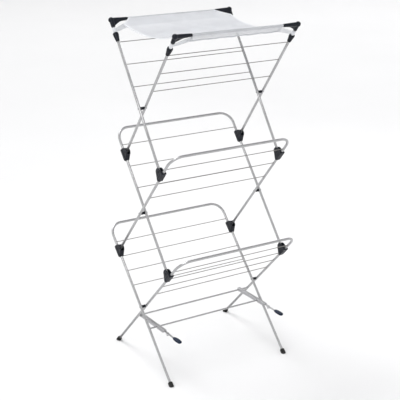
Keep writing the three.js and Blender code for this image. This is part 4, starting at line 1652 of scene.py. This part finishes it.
def shelf_piece(sizes):
    """The sagging net with its bound side edges, as one closed sheet."""
    top, bottom, cloth, run, half = shelf_sheet(sizes)
    rows, columns = top.shape[:2]
    quads = grid_quads(rows, columns, close_columns=False)
    column = quads[:, 0] % columns
    bound = (column < 3) | (column >= columns - 4)
    surface = Surface()
    for points, order in ((top, 1), (bottom, -1)):
        for mask, slot in ((~bound, 0), (bound, 1)):
            chosen = quads[mask][:, ::order]
            surface.add(points, chosen, slot, grid_cloth(cloth, chosen))
    surface_rim(surface, top, bottom, cloth)
    return surface.piece("mesh_shelf_net", [net_finish(), hem_finish()]), run, half


def surface_rim(surface, top, bottom, cloth):
    """Joins the two sides of the sheet round all four edges."""
    edges = (
        (top[0], bottom[0], cloth[0], False),
        (top[-1], bottom[-1], cloth[-1], True),
        (top[:, 0], bottom[:, 0], cloth[:, 0], True),
        (top[:, -1], bottom[:, -1], cloth[:, -1], False),
    )
    for upper, lower, where, flip in edges:
        strip = np.stack([lower, upper])
        quads = grid_quads(2, len(upper), close_columns=False)
        quads = quads[:, ::-1] if flip else quads
        pair = np.stack([where, where])
        surface.add(strip, quads, 1, grid_cloth(pair, quads))


def sleeve_profile(sizes, steps=20):
    """Teardrop section round the bar: nearly a full circle above, closing to a flat hem below.

    Points are inward and along the frame from the bar's centre, with the distance round.
    """
    radius = TUBE_RADIUS + 0.0013
    turn = np.linspace(math.radians(-35), math.radians(215), steps)
    arc = np.stack([radius * np.cos(turn), radius * np.sin(turn)], 1)
    down = np.linspace(0.18, 1.0, 9)[:, None]
    foot_left = np.array([-0.0011, -sizes.hem_depth])
    foot_right = np.array([0.0011, -sizes.hem_depth])
    ease = 1 - (1 - down) ** 2.2
    left_side = np.concatenate(
        [arc[-1, 0] + (foot_left[0] - arc[-1, 0]) * ease,
         arc[-1, 1] + (foot_left[1] - arc[-1, 1]) * down], 1
    )
    right_side = np.concatenate(
        [arc[0, 0] + (foot_right[0] - arc[0, 0]) * ease,
         arc[0, 1] + (foot_right[1] - arc[0, 1]) * down], 1
    )[::-1]
    return np.concatenate([right_side, arc, left_side])


def hem_piece(face, sizes):
    """A bar sleeve with its hem, the two slanting ears and the tabs round the legs."""
    body = "upper_" + face
    axes = frame_axes(body, sizes)
    half = sleeve_half()
    profile = sleeve_profile(sizes)
    count = len(profile)
    across = np.linspace(-half, half, 121)
    wave = 0.0007 * np.sin(across * 71) + 0.0005 * np.sin(across * 163 + 0.7)
    low_share = np.clip(-profile[:, 1] / sizes.hem_depth, 0, 1) ** 2
    rows = np.stack(
        [
            np.repeat(across[:, None], count, 1),
            profile[None, :, 0] + wave[:, None] * low_share[None, :],
            TOP_LEG + profile[None, :, 1] + 0.6 * wave[:, None] * low_share[None, :],
        ],
        axis=-1,
    )
    down = (TUBE_RADIUS + 0.0013 - profile[:, 1]) / (TUBE_RADIUS + 0.0013 + sizes.hem_depth)
    cloth = np.stack(
        [
            np.repeat(across[:, None], count, 1),
            np.repeat(down[None, :] * 0.034, len(across), 0),
        ],
        -1,
    )
    surface = Surface()
    quads = grid_quads(len(across), count)
    upper = (profile[quads[:, 0] % count, 1] > -sizes.hem_depth * 0.30)
    placed_rows = placed(rows, axes)
    outward = FRAMES[body] > 0
    bound = profile[quads[:, 0] % count, 1] < -sizes.hem_depth * 0.84
    for mask, slot in ((upper, 0), (~upper & ~bound, 1), (bound, 2)):
        chosen = quads[mask]
        chosen = chosen if outward else chosen[:, ::-1]
        surface.add(placed_rows, chosen, slot, grid_cloth(cloth, chosen))
    for end, flip in ((0, False), (-1, True)):
        ring = rows[end]
        hub = np.repeat(ring.mean(axis=0)[None, :], count, 0)
        disc = placed(np.stack([ring, hub]), axes)
        faces = grid_quads(2, count)
        surface.add(disc, faces if flip != outward else faces[:, ::-1], 0,
                    grid_cloth(np.stack([cloth[end], cloth[end]]), faces))
    for side in SIDES.values():
        add_ear(surface, side, half, axes, outward, sizes)
        add_tab(surface, side, axes, outward)
    return surface.piece(
        f"{face}_shelf_hem", [net_finish(), coarse_net_finish(), hem_finish()]
    )


def add_ear(surface, side, half, axes, outward, sizes):
    """The slanting ear from a sleeve's end down to the leg: a flat pocket between two edges.

    Across it runs straight from the sleeve to the leg; its top and bottom edges fall by a
    smooth step, and its thickness rounds off at both edges.
    """
    run = np.linspace(0, 1, 19)
    fall = run**1.15
    start, end = half - 0.010, HALF_SPAN - TUBE_RADIUS - 0.0004
    x = start + (end - start) * run
    top_edge = -0.0085 + (-0.0385 + 0.0085) * fall
    bottom_edge = -sizes.hem_depth + (-0.0560 + sizes.hem_depth) * fall
    turn = np.linspace(0, 2 * math.pi, 24, endpoint=False)
    tall = 0.5 + 0.5 * np.abs(np.sin(turn)) ** 0.7 * np.sign(np.sin(turn))
    flat = np.abs(np.cos(turn)) ** 0.5 * np.sign(np.cos(turn))
    ring_size = np.ones(len(run))
    along = bottom_edge[:, None] + (top_edge - bottom_edge)[:, None] * tall[None, :]
    puff = 0.0009 * (1 + 0.8 * np.sin(math.pi * run))
    rows = np.stack(
        [
            side * np.repeat(x[:, None], 24, 1),
            (puff * ring_size)[:, None] * flat[None, :],
            TOP_LEG + along,
        ],
        axis=-1,
    )
    hub_first = np.repeat(rows[:1].mean(axis=1, keepdims=True), 24, 1)
    hub_last = np.repeat(rows[-1:].mean(axis=1, keepdims=True), 24, 1)
    rows = np.concatenate([hub_first, rows, hub_last])
    cloth = np.stack(
        [np.repeat(np.concatenate([[x[0]], x, [x[-1]]])[:, None], 24, 1),
         np.repeat((1 - tall)[None, :] * 0.034, len(rows), 0)], -1
    )
    quads = grid_quads(len(rows), 24)
    flip = (side < 0) == outward
    quads = quads[:, ::-1] if flip else quads
    surface.add(placed(rows, axes), quads, 1, grid_cloth(cloth, quads))


def add_tab(surface, side, axes, outward):
    """The tab that wraps a leg: a short sleeve with soft rolled ends."""
    inner, outer = TUBE_RADIUS + 0.0003, TUBE_RADIUS + 0.0016
    low, high = -0.0570, -0.0365
    profile = rounded_profile(
        [
            (inner, low),
            (outer, low),
            (outer + 0.0004, low + 0.004),
            (outer + 0.0002, (low + high) / 2),
            (outer + 0.0004, high - 0.003),
            (outer, high),
            (inner, high),
        ],
        0.001,
    )
    rings = lathe(profile, 32) + [side * HALF_SPAN, 0.0, TOP_LEG]
    rows = rings.shape[0]
    turn = np.linspace(0, 0.04, 32, endpoint=False)
    cloth = np.stack(
        [np.repeat(turn[None, :], rows, 0), np.repeat((profile[:, 1:2] - low) * 1.5, 32, 1)], -1
    )
    quads = grid_quads(rows, 32, close_rows=True)
    quads = quads if outward else quads[:, ::-1]
    surface.add(placed(rings, axes), quads, 2, grid_cloth(cloth, quads))


class RACK_OT_mesh_shelf(Operator):
    """Hang the mesh shelf with its sleeves, ears and tabs between the top bars"""

    bl_idname = "rack.mesh_shelf"
    bl_label = "Mesh shelf"

    def execute(self, context):
        sizes = context.scene.rack_sizes
        for face in ("front", "back"):
            hem = hem_piece(face, sizes)
            settle(hem, "upper_" + face, "shelf_fabric")
        net, run, half = shelf_piece(sizes)
        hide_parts("mesh_shelf")
        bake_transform(net)
        return {"FINISHED"}


# ---------------------------------------------------------------- stage


def area_light(name, place, target, size, power, rgb=(1.0, 1.0, 1.0)):
    """A square soft light at a place, facing a target."""
    data = bpy.data.lights.new(name, "AREA")
    data.size = size
    data.energy = power
    data.color = rgb
    lamp = bpy.data.objects.new(name, data)
    bpy.context.scene.collection.objects.link(lamp)
    back = unit(np.asarray(place, float) - np.asarray(target, float))
    side = unit(np.cross([0.0, 0.0, 1.0], back)) if abs(back[2]) < 0.999 else np.array([1.0, 0, 0])
    up = np.cross(back, side)
    matrix = np.eye(4)
    matrix[:3, 0], matrix[:3, 1], matrix[:3, 2], matrix[:3, 3] = side, up, back, place
    lamp.matrix_world = Matrix(matrix.tolist())
    return lamp


def floor_piece():
    """A pale round floor whose rim curves up far away, as a studio sweep does.

    Rings of growing radius; the height is zero near the rack and grows with the square of the
    distance past the flat part.
    """
    reach = np.linspace(0.0, 1.0, 60) ** 1.5 * 20.0
    turn = np.linspace(0, 2 * math.pi, 96, endpoint=False)
    rise = np.where(reach > 9.0, 0.10 * (reach - 9.0) ** 2, 0.0)
    points = np.stack(
        [
            reach[:, None] * np.cos(turn)[None, :],
            reach[:, None] * np.sin(turn)[None, :],
            np.repeat(rise[:, None], len(turn), 1),
        ],
        axis=-1,
    )
    surface = Surface()
    surface.add(points, grid_quads(len(reach), len(turn)))
    material, tree, shader = new_material("pale_floor")
    where = node(tree, "ShaderNodeTexCoord").outputs["Object"]
    tone = spread(tree, noise(tree, where, 0.8, 2.0), 0.3, 0.7)
    link(tree, mixed_colour(tree, tone, (0.785, 0.785, 0.79), (0.8, 0.8, 0.805)),
         shader.inputs["Base Color"])
    shader.inputs["Roughness"].default_value = 0.9
    return surface.piece("studio_floor", [material])


class RACK_OT_stage(Operator):
    """Lay the floor, set the soft lights and the camera"""

    bl_idname = "rack.stage"
    bl_label = "Stage"

    def execute(self, context):
        settings = context.scene.rack_stage
        floor_piece()
        context.scene.view_settings.view_transform = "Standard"
        self.world(context.scene)
        self.sun(context.scene)
        area_light("key_light", (-2.6, -1.8, 3.4), (0, 0, 0.8), 1.1, 30)
        area_light("rim_light", (2.6, 1.6, 2.6), (0, 0, 0.8), 1.2, 14)
        self.camera(context.scene, settings)
        return {"FINISHED"}

    @staticmethod
    def sun(scene):
        """A wide even light from behind and to the left, as from a lit studio ceiling."""
        data = bpy.data.lights.new("ceiling_light", "SUN")
        data.energy = 1.75
        data.angle = math.radians(32)
        lamp = bpy.data.objects.new("ceiling_light", data)
        scene.collection.objects.link(lamp)
        lamp.rotation_euler = (math.radians(-32), math.radians(-12), 0.0)

    @staticmethod
    def world(scene):
        world = bpy.data.worlds.new("studio")
        world.use_nodes = True
        tree = world.node_tree
        background = tree.nodes["Background"]
        background.inputs["Color"].default_value = (1.0, 1.0, 1.0, 1.0)
        toward = node(tree, "ShaderNodeVectorMath", operation="DOT_PRODUCT")
        toward.inputs[1].default_value = (-0.70, -0.25, 0.66)
        link(tree, node(tree, "ShaderNodeTexCoord").outputs["Generated"], toward.inputs[0])
        link(tree, spread(tree, toward.outputs["Value"], -0.25, 0.9, 0.10, 1.0),
             background.inputs["Strength"])
        scene.world = world

    @staticmethod
    def camera(scene, settings):
        """Camera turned by yaw and pitch, then rolled about its own view line."""
        yaw, pitch, roll = settings.yaw, settings.pitch, settings.roll
        ahead = np.array(
            [
                math.sin(yaw) * math.cos(pitch),
                math.cos(yaw) * math.cos(pitch),
                -math.sin(pitch),
            ]
        )
        level = np.array([math.cos(yaw), -math.sin(yaw), 0.0])
        up = np.cross(level, ahead)
        right = level * math.cos(roll) + up * math.sin(roll)
        true_up = np.cross(right, ahead)
        matrix = np.eye(4)
        matrix[:3, 0], matrix[:3, 1], matrix[:3, 2] = right, true_up, -ahead
        matrix[:3, 3] = (settings.camera_x, settings.camera_y, settings.camera_z)
        data = bpy.data.cameras.new("camera")
        data.sensor_width = 36.0
        data.lens = settings.lens
        data.clip_end = 100.0
        camera = bpy.data.objects.new("camera", data)
        scene.collection.objects.link(camera)
        camera.matrix_world = Matrix(matrix.tolist())
        scene.camera = camera


# ---------------------------------------------------------------- panel and registration


OPERATORS = (
    RACK_OT_frames,
    RACK_OT_corner_caps,
    RACK_OT_collars,
    RACK_OT_clamps,
    RACK_OT_pivots,
    RACK_OT_feet,
    RACK_OT_lock_arms,
    RACK_OT_lock_grips,
    RACK_OT_mesh_shelf,
    RACK_OT_stage,
)


class RACK_PT_panel(Panel):
    """Lists the rack's builders with their sizes and colours"""

    bl_idname = "RACK_PT_panel"
    bl_label = "Drying rack"
    bl_space_type = "VIEW_3D"
    bl_region_type = "UI"
    bl_category = "Drying rack"

    def draw(self, context):
        layout = self.layout
        for operator in OPERATORS:
            layout.operator(operator.bl_idname)
        for group in (
            context.scene.rack_sizes,
            context.scene.rack_colours,
            context.scene.rack_stage,
        ):
            box = layout.box()
            for name in group.__annotations__:
                box.prop(group, name)


CLASSES = (RackSizes, RackColours, RackStage, *OPERATORS, RACK_PT_panel)


def register():
    for cls in CLASSES:
        bpy.utils.register_class(cls)
    bpy.types.Scene.rack_sizes = PointerProperty(type=RackSizes)
    bpy.types.Scene.rack_colours = PointerProperty(type=RackColours)
    bpy.types.Scene.rack_stage = PointerProperty(type=RackStage)


def unregister():
    del bpy.types.Scene.rack_stage
    del bpy.types.Scene.rack_colours
    del bpy.types.Scene.rack_sizes
    for cls in reversed(CLASSES):
        bpy.utils.unregister_class(cls)


def main():
    """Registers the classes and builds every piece."""
    register()
    for operator in OPERATORS:
        area, name = operator.bl_idname.split(".")
        getattr(getattr(bpy.ops, area), name)()
    bpy.context.view_layer.update()


if __name__ == "__main__":
    main()
